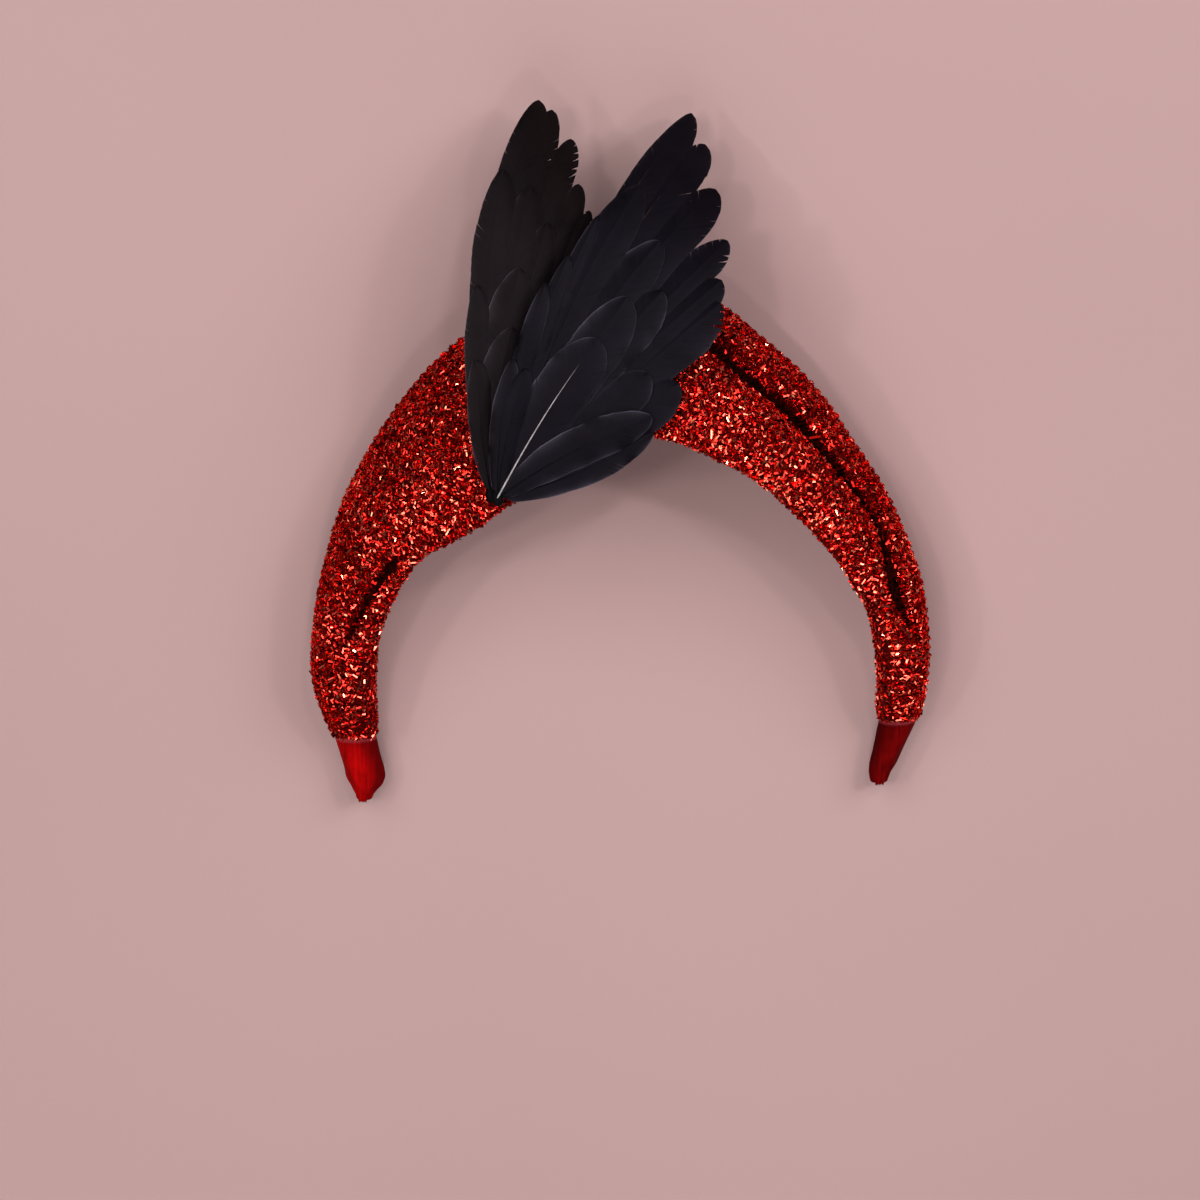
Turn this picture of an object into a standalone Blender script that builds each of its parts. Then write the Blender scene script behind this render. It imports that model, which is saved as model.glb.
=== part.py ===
"""A padded tinsel headband with two feather wings, resting on its rear edge.

Lengths are in metres and +Z is up. The band is an open arch that lies on its
side: +Y points from its two ends to its top, and +Z from the rear edge, which
rests on the surface, to the front edge, which faces the viewer. The model is
built round the head's middle and is centred on its own outline at the end.
"""

import math
from typing import NamedTuple

import bmesh
import bpy
import numpy as np
from mathutils import Vector
from mathutils.bvhtree import BVHTree

# The head that the arch fits
HEAD_HALF_WIDTH = 0.0770
ARCH_HEIGHT = 0.0970
LEFT_LEG = 0.0175
RIGHT_LEG = 0.0140

# The padded band
BAND_WIDTH = 0.0620
PADDING = 0.0290
EDGE_THICKNESS = 0.0050
EDGE_SQUARENESS = 2.2
PADDING_FULLNESS = 1.8
INNER_FULLNESS = 4.0
FRONT_LEAN = 0.0265
LEAN_GROWTH = 1.5
PLEAT_DEPTH = 0.0085
PLEAT_REAR_SIDE = 0.0060
PLEAT_FRONT_SIDE = 0.0130
PLEAT_TUCK = 0.0030
PLEAT_FADING = 0.7
PLEAT_LEAST = 0.1
REST_WIDTH = 0.0040

# The velvet ends
TIP_LENGTH = 0.0185
TIP_NECK = 0.0124
TIP_PINCH = 0.0036
TIP_HEIGHT = 0.0135
TIP_LOWERING = 0.15
TIP_TAPER = 1.3
TIP_PLEAT = 0.0005
TIP_PLEATS = 7

# The feather wings
WING_LENGTH = 0.1260
FEATHER_WIDTH = 0.0180
FEATHER_THICKNESS = 0.0009
FEATHER_LAYER = 0.0004
FEATHER_CROWN = 0.0004
FEATHER_SHINGLE = 0.0004
FEATHER_BACK_STEP = 0.00003
QUILL_WIDTH = 0.0020
BLADE_SWELL = 0.8
BLADE_ROUNDNESS = 2.2
BLADE_FULLNESS = 0.5
BLADE_SHOULDER = 0.35
BLADE_LEAST = 0.12
KNOT_WIDTH = 0.0075
KNOT_LENGTH = 0.00975
KNOT_AHEAD = 0.00225
KNOT_HEIGHT = 0.0022

# The gap that pieces keep where one is seated on another
SEAT_GAP = 0.0003

# How finely the soft forms are faceted
BAND_SECTIONS = 64
REAR_FACETS = 10
FRONT_FACETS = 6
INNER_FACETS = 6
TIP_SECTIONS = 8
TIP_FACETS = 20
FEATHER_ROWS = 9
FEATHER_COLUMNS = 2
FEATHER_ROW_CROWDING = 1.6
KNOT_SEGMENTS = 14
KNOT_RINGS = 8
ARCH_STEPS = 400
SHARP_ANGLE = 50


class BandSection(NamedTuple):
    """One cross-section of the padded band, from the left end to the right end."""

    along: float  # share of the band's inner length
    width: float  # share of BAND_WIDTH
    padding: float  # share of PADDING
    lean: float  # share of FRONT_LEAN, the front edge's lean in over the head
    pleat_at: float  # where the pleat runs, as a share of the width from the rear edge
    pleat: float  # share of PLEAT_DEPTH


BAND_TABLE = (
    BandSection(0.000, 0.27, 0.46, -0.04, 0.84, 0.00),
    BandSection(0.057, 0.42, 0.63, -0.03, 0.84, 0.10),
    BandSection(0.130, 0.55, 0.70, 0.19, 0.88, 0.30),
    BandSection(0.180, 0.63, 0.73, 0.33, 0.91, 0.42),
    BandSection(0.220, 0.70, 0.78, 0.50, 0.93, 0.38),
    BandSection(0.260, 0.79, 0.83, 0.77, 0.93, 0.15),
    BandSection(0.309, 0.89, 0.88, 0.92, 0.90, 0.00),
    BandSection(0.367, 0.96, 0.96, 0.98, 0.85, 0.00),
    BandSection(0.430, 0.99, 1.00, 0.83, 0.75, 0.20),
    BandSection(0.500, 1.00, 1.00, 0.66, 0.68, 0.70),
    BandSection(0.566, 0.98, 0.99, 0.65, 0.68, 1.00),
    BandSection(0.620, 0.92, 0.82, 0.63, 0.69, 1.00),
    BandSection(0.680, 0.83, 0.70, 0.57, 0.67, 1.00),
    BandSection(0.740, 0.74, 0.60, 0.46, 0.65, 0.95),
    BandSection(0.798, 0.65, 0.60, 0.32, 0.67, 0.80),
    BandSection(0.843, 0.59, 0.60, 0.19, 0.82, 0.50),
    BandSection(0.873, 0.54, 0.58, 0.07, 0.90, 0.20),
    BandSection(0.943, 0.43, 0.53, -0.02, 0.84, 0.00),
    BandSection(1.000, 0.27, 0.43, -0.02, 0.84, 0.00),
)


class VelvetTip(NamedTuple):
    """One velvet end, which carries on from the band's end face."""

    name: str
    along: int  # the end of the band that it is on: 0 is the left one, 1 the right one
    length: float  # share of TIP_LENGTH
    full_to: float  # share of its length over which it keeps its full width
    lean_in: float  # how far it leans towards the head, as a share of TIP_LENGTH


TIPS = (
    VelvetTip("left_tip", 0, 1.15, 0.50, 0.18),
    VelvetTip("right_tip", 1, 1.14, 0.10, 0.34),
)


class Feather(NamedTuple):
    """One feather blade of a wing, all of them starting at the wing's root."""

    heading: float  # degrees from the arch's upward direction, positive to the right
    reach: float  # share of WING_LENGTH
    width: float  # share of FEATHER_WIDTH
    widest: float  # where it is widest, as a share of its reach
    bow: float  # sideways bend of its shaft, as a share of its reach, positive to the left
    shaft_at: float  # the share of its width that lies left of its shaft
    layer: int  # 0 is the rearmost layer


RIGHT_FEATHERS = (
    Feather(25.9, 1.040, 0.72, 0.76, 0.032, 0.34, 0),
    Feather(29.6, 0.984, 0.84, 0.80, 0.032, 0.42, 0),
    Feather(34.7, 0.898, 0.90, 0.80, 0.030, 0.46, 0),
    Feather(41.6, 0.812, 0.70, 0.84, 0.010, 0.50, 0),
    Feather(46.0, 0.730, 0.80, 0.80, 0.010, 0.50, 0),
    Feather(49.2, 0.690, 0.98, 0.72, 0.000, 0.48, 0),
    Feather(58.9, 0.498, 0.96, 0.68, 0.000, 0.48, 0),
    Feather(24.6, 0.808, 0.86, 0.72, 0.028, 0.48, 1),
    Feather(32.6, 0.712, 0.86, 0.72, 0.028, 0.50, 1),
    Feather(39.2, 0.615, 0.92, 0.70, 0.014, 0.50, 1),
    Feather(51.9, 0.454, 0.86, 0.70, 0.000, 0.50, 1),
    Feather(20.1, 0.700, 0.42, 0.70, 0.026, 0.42, 1),
    Feather(68.3, 0.392, 0.50, 0.50, -0.045, 0.46, 1),
    Feather(33.7, 0.555, 0.96, 0.68, 0.006, 0.44, 2),
    Feather(13.6, 0.508, 0.44, 0.66, 0.022, 0.46, 2),
    Feather(33.5, 0.434, 0.98, 0.68, 0.018, 0.50, 3),
    Feather(7.6, 0.320, 0.44, 0.60, 0.030, 0.48, 3),
    Feather(63.7, 0.402, 0.62, 0.52, 0.034, 0.56, 3),
)

LEFT_FEATHERS = (
    Feather(6.8, 0.952, 0.74, 0.74, 0.046, 0.43, 0),
    Feather(8.8, 0.936, 0.64, 0.80, 0.034, 0.46, 0),
    Feather(12.4, 0.876, 0.60, 0.82, 0.024, 0.46, 0),
    Feather(15.6, 0.770, 0.58, 0.80, 0.020, 0.46, 0),
    Feather(18.9, 0.705, 0.38, 0.80, 0.010, 0.46, 0),
    Feather(2.6, 0.764, 0.72, 0.72, 0.032, 0.46, 1),
    Feather(7.7, 0.735, 0.72, 0.72, 0.024, 0.50, 1),
    Feather(12.1, 0.655, 0.66, 0.70, 0.020, 0.48, 1),
    Feather(-3.0, 0.486, 0.52, 0.64, 0.024, 0.46, 2),
    Feather(7.9, 0.532, 0.80, 0.68, 0.024, 0.54, 2),
    Feather(8.1, 0.390, 0.72, 0.66, 0.034, 0.54, 3),
    Feather(-5.5, 0.312, 0.50, 0.62, 0.020, 0.44, 3),
)


class Wing(NamedTuple):
    """How one wing sits on the band, and how its surface curves."""

    name: str
    root_x: float  # share of HEAD_HALF_WIDTH, from the head's middle
    root_y: float  # share of ARCH_HEIGHT
    lean: float  # degrees that it leans back from the front edge's plane
    arch: float  # how far it bows to the front along its length, as a share of WING_LENGTH
    twist: float  # how far its right side has turned back at its tip, in degrees
    camber: float  # curvature across the wing at its tip, times WING_LENGTH
    feathers: tuple


WINGS = (
    Wing("left_wing", -0.470, 0.660, 15.0, 0.050, 38.0, 0.60, LEFT_FEATHERS),
    Wing("right_wing", -0.442, 0.660, 15.0, 0.050, 10.0, 0.80, RIGHT_FEATHERS),
)


def smooth_column(table, column, share):
    """A column of a table at one share along it, on a smooth curve that passes each row."""
    at = np.array([row[0] for row in table])
    value = np.array([getattr(row, column) for row in table])
    slope = np.diff(value) / np.diff(at)
    both = slope[:-1] * slope[1:]
    inner = np.where(both > 0, 2 * both / np.where(both > 0, slope[:-1] + slope[1:], 1), 0)
    tangent = np.concatenate([slope[:1], inner, slope[-1:]])
    i = int(np.clip(np.searchsorted(at, share, side="right") - 1, 0, len(slope) - 1))
    step = at[i + 1] - at[i]
    t = (share - at[i]) / step
    return float(
        (1 + 2 * t) * (1 - t) ** 2 * value[i]
        + t * (1 - t) ** 2 * step * tangent[i]
        + t * t * (3 - 2 * t) * value[i + 1]
        + t * t * (t - 1) * step * tangent[i + 1]
    )


def arch_line(shares):
    """Points and outward directions of the inner rear line: a leg, half an ellipse, a leg."""
    turn = np.linspace(0, math.pi, ARCH_STEPS)
    line = np.column_stack([-HEAD_HALF_WIDTH * np.cos(turn), ARCH_HEIGHT * np.sin(turn)])
    line = np.vstack([[-HEAD_HALF_WIDTH, -LEFT_LEG], line, [HEAD_HALF_WIDTH, -RIGHT_LEG]])
    along = np.concatenate([[0], np.cumsum(np.linalg.norm(np.diff(line, axis=0), axis=1))])
    way = np.gradient(line, along, axis=0)
    way /= np.linalg.norm(way, axis=1)[:, None]
    at = np.asarray(shares) * along[-1]
    point = np.column_stack([np.interp(at, along, line[:, k]) for k in range(2)])
    way = np.column_stack([np.interp(at, along, way[:, k]) for k in range(2)])
    return point, np.column_stack([-way[:, 1], way[:, 0]])


def hump(across, fullness):
    """A rounded hump over 0 to 1: 0 at both edges and 1 in the middle."""
    return (1 - np.abs(2 * across - 1) ** EDGE_SQUARENESS) ** (1 / fullness)


def eased(count):
    """Shares from 0 to 1, closer together at both ends."""
    return (1 - np.cos(np.linspace(0, math.pi, count + 1))) / 2


def band_section(share):
    """A section's closed outline, as outward and upward distances from the inner rear line.

    It runs over the padding from the rear edge to the front edge, dips into the
    pleat, whose floor is tucked under the rear roll, and comes back along the
    inside. The rear edge, on which the band rests, is pressed flat.
    """
    row = {name: smooth_column(BAND_TABLE, name, share) for name in BandSection._fields[1:]}
    width = row["width"] * BAND_WIDTH
    pleat_at = row["pleat_at"]
    behind_pleat = pleat_at * eased(REAR_FACETS)
    before_pleat = pleat_at + (1 - pleat_at) * eased(FRONT_FACETS)[1:]
    over = np.concatenate([behind_pleat, before_pleat])
    under = 1 - eased(INNER_FACETS)[1:]
    padding = row["padding"] * PADDING - EDGE_THICKNESS
    beside = (over - pleat_at) * width
    side = np.where(beside < 0, PLEAT_REAR_SIDE, PLEAT_FRONT_SIDE)
    side = side * max(row["pleat"], PLEAT_LEAST) ** PLEAT_FADING
    near = np.clip(1 - np.abs(beside) / side, 0, 1)
    dip = row["pleat"] * (1 - np.sqrt(1 - near**2))
    outward = EDGE_THICKNESS + padding * hump(over, PADDING_FULLNESS) - PLEAT_DEPTH * dip
    inside = EDGE_THICKNESS - np.where(under > 0, EDGE_THICKNESS * hump(under, INNER_FULLNESS), REST_WIDTH)
    outward = np.concatenate([outward, inside])
    upward = np.concatenate([over * width - PLEAT_TUCK * dip, under * width])
    lean = row["lean"] * FRONT_LEAN
    return outward - lean * (upward / width) ** LEAN_GROWTH, upward


def band_rings():
    """The band's sections in place, from the left end to the right end."""
    shares = np.linspace(0, 1, BAND_SECTIONS + 1)
    rings = []
    for share, point, way in zip(shares, *arch_line(shares)):
        outward, upward = band_section(share)
        rings.append(np.column_stack([point + outward[:, None] * way, upward]))
    return rings


def new_object(name, mesh, group, finish=None):
    """An object for a mesh, in a collection, with its material."""
    made = bpy.data.objects.new(name, mesh)
    group.objects.link(made)
    if finish:
        mesh.materials.append(finish)
    return made


def loft(name, rings, group, finish=None):
    """A closed solid through rings of equally many points, with flat ends."""
    around = len(rings[0])
    bm = bmesh.new()
    verts = [[bm.verts.new(point) for point in ring] for ring in rings]
    for ring, following in zip(verts, verts[1:]):
        for k in range(around):
            after = (k + 1) % around
            bm.faces.new((ring[k], ring[after], following[after], following[k]))
    bm.faces.new(reversed(verts[0]))
    bm.faces.new(verts[-1])
    bmesh.ops.recalc_face_normals(bm, faces=bm.faces)
    mesh = bpy.data.meshes.new(name)
    bm.to_mesh(mesh)
    bm.free()
    mesh.shade_smooth()
    mesh.set_sharp_from_angle(angle=math.radians(SHARP_ANGLE))
    return new_object(name, mesh, group, finish)


def velvet_tip(tip, group, finish):
    """The velvet end of the band, gathered in small pleats towards its pinched, cut tip."""
    (point,), (way,) = arch_line([tip.along])
    outward, upward = band_section(tip.along)
    out = Vector((*way, 0))
    onward = Vector((way[1], -way[0], 0)) * (1 if tip.along > 0.5 else -1)
    start = Vector((*(point + way * (outward.max() + outward.min()) / 2), TIP_HEIGHT / 2))
    turn = np.linspace(0, 2 * math.pi, TIP_FACETS, endpoint=False)
    rings = []
    for s in np.linspace(0, 1, TIP_SECTIONS):
        narrowing = min(max((s - tip.full_to) / (1 - tip.full_to), 0), 1) ** TIP_TAPER
        half = (TIP_NECK + (TIP_PINCH - TIP_NECK) * narrowing) / 2
        tall = TIP_HEIGHT / 2 * (1 - TIP_LOWERING * s)
        gather = 1 + TIP_PLEAT / half * s * np.cos(TIP_PLEATS * turn)
        centre = start + onward * (SEAT_GAP + tip.length * TIP_LENGTH * s)
        centre -= out * tip.lean_in * TIP_LENGTH * s
        outs = half * np.cos(turn) * gather
        rings.append(np.column_stack([
            centre.x + out.x * outs,
            centre.y + out.y * outs,
            tall * (1 + np.sin(turn) * gather.clip(0, 1)),
        ]))
    return loft(tip.name, rings, group, finish)


def blade_width(p, widest):
    """A vane's width along the shaft as a share of its widest: a slow swell, a round tip."""
    if p < widest:
        return math.sin(math.pi / 2 * (p / widest) ** BLADE_SWELL)
    past = (p - widest) / (1 - widest)
    return max((1 - past**BLADE_ROUNDNESS) ** BLADE_FULLNESS, BLADE_LEAST)


def wing_surface(wing, u, v):
    """How far the wing stands to the front of its own plane, u across and v along it."""
    s = v / WING_LENGTH
    turned = math.tan(math.radians(wing.twist)) * u + wing.camber * u * u / WING_LENGTH
    return 4 * wing.arch * WING_LENGTH * (s - s * s) - turned * s * abs(s)


def feather_blade(wing, feather, number, group):
    """One blade: its crowned front stands over the wing's surface, and its back lies behind it.

    Every blade takes in the wing's surface, so blades that overlap have no pocket
    between them, and each back lies a little deeper than the one before it. Its
    right vane stays wide for longer than its left one.
    """
    heading = math.radians(feather.heading)
    reach = feather.reach * WING_LENGTH
    shoulder = feather.widest + BLADE_SHOULDER * (1 - feather.widest)
    back = FEATHER_THICKNESS / 2 + FEATHER_BACK_STEP * number
    q = np.linspace(-1, 1, FEATHER_COLUMNS + 1)
    front = FEATHER_THICKNESS / 2 + FEATHER_LAYER * feather.layer
    front = front + FEATHER_CROWN * (1 - q * q) + FEATHER_SHINGLE * (1 - q) / 2
    across = np.concatenate([q, q[::-1]])
    rise = np.concatenate([front, np.full(len(q), -back)])
    rings = []
    for p in 1 - (1 - np.linspace(0, 1, FEATHER_ROWS)) ** FEATHER_ROW_CROWDING:
        wide = feather.width * FEATHER_WIDTH - QUILL_WIDTH
        left = feather.shaft_at * (QUILL_WIDTH + wide * blade_width(p, feather.widest))
        right = (1 - feather.shaft_at) * (QUILL_WIDTH + wide * blade_width(p, shoulder))
        side = np.where(across < 0, left, right) * across - feather.bow * reach * 4 * p * (1 - p)
        u = math.sin(heading) * p * reach + math.cos(heading) * side
        v = math.cos(heading) * p * reach - math.sin(heading) * side
        rings.append(np.column_stack([u, v, wing_surface(wing, u, v) + rise]))
    return loft(f"{wing.name}_blade_{number}", rings, group)


def feather_wing(wing, group, helpers, finish):
    """A wing: its blades fused to the flat knot that binds their quills."""
    blades = bpy.data.collections.new(f"{wing.name}_blades")
    helpers.children.link(blades)
    frame = bpy.data.objects.new(f"{wing.name}_seat", None)
    group.objects.link(frame)
    frame.location = (wing.root_x * HEAD_HALF_WIDTH, wing.root_y * ARCH_HEIGHT, 0)
    frame.rotation_euler.x = -math.radians(wing.lean)
    bm = bmesh.new()
    bmesh.ops.create_uvsphere(bm, u_segments=KNOT_SEGMENTS, v_segments=KNOT_RINGS, radius=0.5)
    bmesh.ops.scale(bm, vec=(KNOT_WIDTH, KNOT_LENGTH, KNOT_HEIGHT), verts=bm.verts)
    bmesh.ops.translate(bm, vec=(0, KNOT_AHEAD, 0), verts=bm.verts)
    mesh = bpy.data.meshes.new(wing.name)
    bm.to_mesh(mesh)
    bm.free()
    made = new_object(wing.name, mesh, group, finish)
    made.parent = frame
    for number, feather in enumerate(wing.feathers):
        blade = feather_blade(wing, feather, number, blades)
        blade.parent = frame
        blade.hide_render = True
        blade.display_type = "WIRE"
    fuse = made.modifiers.new("fuse", "BOOLEAN")
    fuse.operation = "UNION"
    fuse.operand_type = "COLLECTION"
    fuse.collection = blades
    return made


def world_mesh(obj):
    """An object's finished vertices and faces, where they are in the scene."""
    seen = obj.evaluated_get(bpy.context.evaluated_depsgraph_get())
    mesh = seen.to_mesh()
    points = [seen.matrix_world @ v.co for v in mesh.vertices]
    faces = [tuple(face.vertices) for face in mesh.polygons]
    seen.to_mesh_clear()
    return points, faces


def lower_onto(piece, supports):
    """Lower a piece from above until it is SEAT_GAP over the first support that it meets."""
    bpy.context.view_layer.update()
    points, faces = world_mesh(piece)
    tree = BVHTree.FromPolygons(points, faces)
    down = Vector((0, 0, -1))
    room = math.inf
    high = Vector((0, 0, 1))
    for support in supports:
        below, below_faces = world_mesh(support)
        below_tree = BVHTree.FromPolygons(below, below_faces)
        for point in points:
            hit = below_tree.ray_cast(point + high, down)[0]
            if hit:
                room = min(room, point.z - hit.z)
        for point in below:
            hit = tree.ray_cast(point - high, -down)[0]
            if hit:
                room = min(room, hit.z - point.z)
    piece.parent.location.z += SEAT_GAP - room


def finish_of(name, colour, roughness, metallic=0.0):
    """A plain material with one colour."""
    made = bpy.data.materials.new(name)
    made.use_nodes = True
    shader = made.node_tree.nodes["Principled BSDF"]
    shader.inputs["Base Color"].default_value = (*colour, 1)
    shader.inputs["Roughness"].default_value = roughness
    shader.inputs["Metallic"].default_value = metallic
    made.diffuse_color = (*colour, 1)
    return made


def centre_on_outline(pieces):
    """Move the whole model so that its outline is centred over the origin and rests at 0."""
    bpy.context.view_layer.update()
    points = np.array([point for piece in pieces for point in world_mesh(piece)[0]])
    low, high = points.min(axis=0), points.max(axis=0)
    frame = bpy.data.objects.new("headband_frame", None)
    bpy.context.scene.collection.objects.link(frame)
    for piece in pieces:
        (piece.parent or piece).parent = frame
    frame.location = (-(low[0] + high[0]) / 2, -(low[1] + high[1]) / 2, -low[2])


def main():
    """Build the band, its velvet ends and the two wings, each piece on what carries it."""
    for old in list(bpy.data.objects):
        bpy.data.objects.remove(old)
    headband = bpy.data.collections.new("feather_wing_headband")
    helpers = bpy.data.collections.new("cutters")
    for group in (headband, helpers):
        bpy.context.scene.collection.children.link(group)
    tinsel = finish_of("tinsel_fabric", (0.53, 0.006, 0.006), 0.35, 0.4)
    velvet = finish_of("velvet", (0.60, 0.003, 0.003), 0.9)
    feather = finish_of("feather", (0.012, 0.012, 0.015), 0.5)

    band = loft("padded_band", band_rings(), headband, tinsel)
    pieces = [band] + [velvet_tip(tip, headband, velvet) for tip in TIPS]
    supports = [band]
    for wing in WINGS:
        made = feather_wing(wing, headband, helpers, feather)
        lower_onto(made, supports)
        supports.append(made)
        pieces.append(made)
    centre_on_outline(pieces)


main()
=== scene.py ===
"""The looks of a padded tinsel headband with velvet ends and two feather wings.

The band, its ends and the wings are surfaces worked out as whole numpy arrays
from the sizes that they were built to, and set in place from the frame's boxes.
"""

import logging
import math
from dataclasses import dataclass, field
from enum import Enum

import bpy
import numpy as np
from mathutils import Matrix, Vector


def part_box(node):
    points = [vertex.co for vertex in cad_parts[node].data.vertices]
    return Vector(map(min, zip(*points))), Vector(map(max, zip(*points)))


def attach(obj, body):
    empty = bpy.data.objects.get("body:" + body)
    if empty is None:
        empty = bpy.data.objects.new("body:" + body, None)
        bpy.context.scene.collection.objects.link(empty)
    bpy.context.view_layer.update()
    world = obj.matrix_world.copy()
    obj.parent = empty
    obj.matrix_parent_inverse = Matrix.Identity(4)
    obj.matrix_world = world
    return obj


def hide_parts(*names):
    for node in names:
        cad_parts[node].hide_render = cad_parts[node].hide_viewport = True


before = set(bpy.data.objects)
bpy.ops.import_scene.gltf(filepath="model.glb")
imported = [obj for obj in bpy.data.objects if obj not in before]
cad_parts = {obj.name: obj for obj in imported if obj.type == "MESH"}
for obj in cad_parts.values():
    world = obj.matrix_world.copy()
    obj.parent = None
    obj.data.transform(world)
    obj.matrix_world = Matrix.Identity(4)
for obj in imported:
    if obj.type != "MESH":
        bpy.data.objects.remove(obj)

Array = np.ndarray
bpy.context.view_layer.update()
LOG = logging.getLogger("headband")
MM = 0.001

# The steps of an even two-number sequence: 1/g and 1/g^2, where g^3 = g + 1.
EVEN_STEPS = (0.7548776662466927, 0.5698402909980532)


class Slot(Enum):
    """The record's material slots."""

    TINSEL = "tinsel_fabric"
    VELVET = "velvet"
    FEATHER = "feather"


class Shaft(Enum):
    """What a feather's shaft looks like, as the name of its finish."""

    DARK = "dark_shaft"
    BROWN = "brown_shaft"
    PALE = "pale_shaft"


def smoothstep(value: Array, low: float, high: float) -> Array:
    """A soft step: 0 below low, 1 above high and 3t^2 - 2t^3 between them."""
    t = np.clip((value - low) / (high - low), 0, 1)
    return t * t * (3 - 2 * t)


def unit(vectors: Array) -> Array:
    """Vectors, along the last axis, divided by their lengths."""
    return vectors / np.maximum(np.linalg.norm(vectors, axis=-1, keepdims=True), 1e-12)


def smooth_table(rows: tuple, share: Array) -> dict[str, Array]:
    """Every column of a table of frozen rows, on smooth curves through its rows.

    Each column is a cubic Hermite curve over the first column. Its slope at an
    inner row is the harmonic mean of the slopes on both sides, or 0 at a peak.

    Args:
        rows: dataclass rows whose first field is the share along, rising.
        share: where to read the columns, of any shape.

    Returns:
        A dict from column name to an array shaped as share.
    """
    names = list(rows[0].__dataclass_fields__)
    at = np.array([getattr(row, names[0]) for row in rows])
    found = np.clip(np.searchsorted(at, share, side="right") - 1, 0, len(at) - 2)
    step = np.diff(at)[found]
    t = (share - at[found]) / step
    columns = {}
    for name in names[1:]:
        value = np.array([getattr(row, name) for row in rows])
        slope = np.diff(value) / np.diff(at)
        both = slope[:-1] * slope[1:]
        total = np.where(both > 0, slope[:-1] + slope[1:], 1)
        tangent = np.concatenate([slope[:1], np.where(both > 0, 2 * both / total, 0), slope[-1:]])
        columns[name] = (
            (1 + 2 * t) * (1 - t) ** 2 * value[found]
            + t * (1 - t) ** 2 * step * tangent[found]
            + t * t * (3 - 2 * t) * value[found + 1]
            + t * t * (t - 1) * step * tangent[found + 1]
        )
    return columns


def grid_quads(rows: int, columns: int, wrap: bool = False) -> Array:
    """The quads of a grid of points in row order, facing along (next column) x (next row).

    Args:
        rows: how many rows of points.
        columns: how many points a row has.
        wrap: whether the last column joins the first.

    Returns:
        An array of four point numbers for each quad.
    """
    row = np.arange(rows - 1)[:, None] * columns
    column = np.arange(columns if wrap else columns - 1)[None, :]
    after = (column + 1) % columns
    quads = np.stack([row + column, row + after, row + columns + after, row + columns + column], axis=-1)
    return quads.reshape(-1, 4)


def tube_faces(rows: int, around: int, flip: bool = False) -> list[Array]:
    """The faces of a closed tube: the quads between its rings, and a cap at each end.

    Args:
        rows: how many rings of points.
        around: how many points a ring has.
        flip: whether the rings run the other way round, as seen from the first.

    Returns:
        The quads, the first ring's cap and the last ring's cap.
    """
    quads = grid_quads(rows, around, wrap=True)
    first = np.arange(around)[None, ::-1]
    last = (rows - 1) * around + np.arange(around)[None, :]
    return [faces[:, ::-1] if flip else faces for faces in (quads, first, last)]


def build_mesh(
    name: str,
    points: Array,
    faces: list[Array],
    values: dict[str, Array] | None = None,
    uv: Array | None = None,
    smooth: bool = True,
) -> bpy.types.Object:
    """A new object, at the origin, from arrays.

    Args:
        name: the piece's name.
        points: (n, 3) positions in the row frame.
        faces: arrays of point numbers, each of one polygon size.
        values: point attributes, by name.
        uv: (n, 2) coordinates, one pair a point.
        smooth: whether the faces are shaded smooth.

    Returns:
        The object, linked to the scene.
    """
    mesh = bpy.data.meshes.new(name)
    loops = np.concatenate([face.ravel() for face in faces]).astype(np.int32)
    sizes = np.concatenate([np.full(len(face), face.shape[1]) for face in faces])
    starts = np.concatenate([[0], np.cumsum(sizes)[:-1]]).astype(np.int32)
    mesh.vertices.add(len(points))
    mesh.vertices.foreach_set("co", np.asarray(points, np.float32).ravel())
    mesh.loops.add(len(loops))
    mesh.loops.foreach_set("vertex_index", loops)
    mesh.polygons.add(len(sizes))
    mesh.polygons.foreach_set("loop_start", starts)
    mesh.polygons.foreach_set("use_smooth", np.full(len(sizes), smooth))
    for key, value in (values or {}).items():
        attribute = mesh.attributes.new(key, "FLOAT", "POINT")
        attribute.data.foreach_set("value", np.asarray(value, np.float32).ravel())
    if uv is not None:
        layer = mesh.uv_layers.new(name="surface")
        layer.data.foreach_set("uv", np.asarray(uv, np.float32)[loops].ravel())
    mesh.update()
    mesh.validate()
    made = bpy.data.objects.new(name, mesh)
    bpy.context.scene.collection.objects.link(made)
    return made


def finish_piece(piece: bpy.types.Object, material: bpy.types.Material, slot: Slot, *nodes: str) -> None:
    """Dress a piece, ride it on the one body and hide the CAD nodes that it replaces.

    Args:
        piece: the piece.
        material: its finish.
        slot: its material slot; it is not used.
        nodes: the CAD nodes that it replaces, if any.
    """
    piece.data.materials.append(material)
    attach(piece, "root")
    if nodes:
        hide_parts(*nodes)
    LOG.info("%s: %d faces", piece.name, len(piece.data.polygons))


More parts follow.
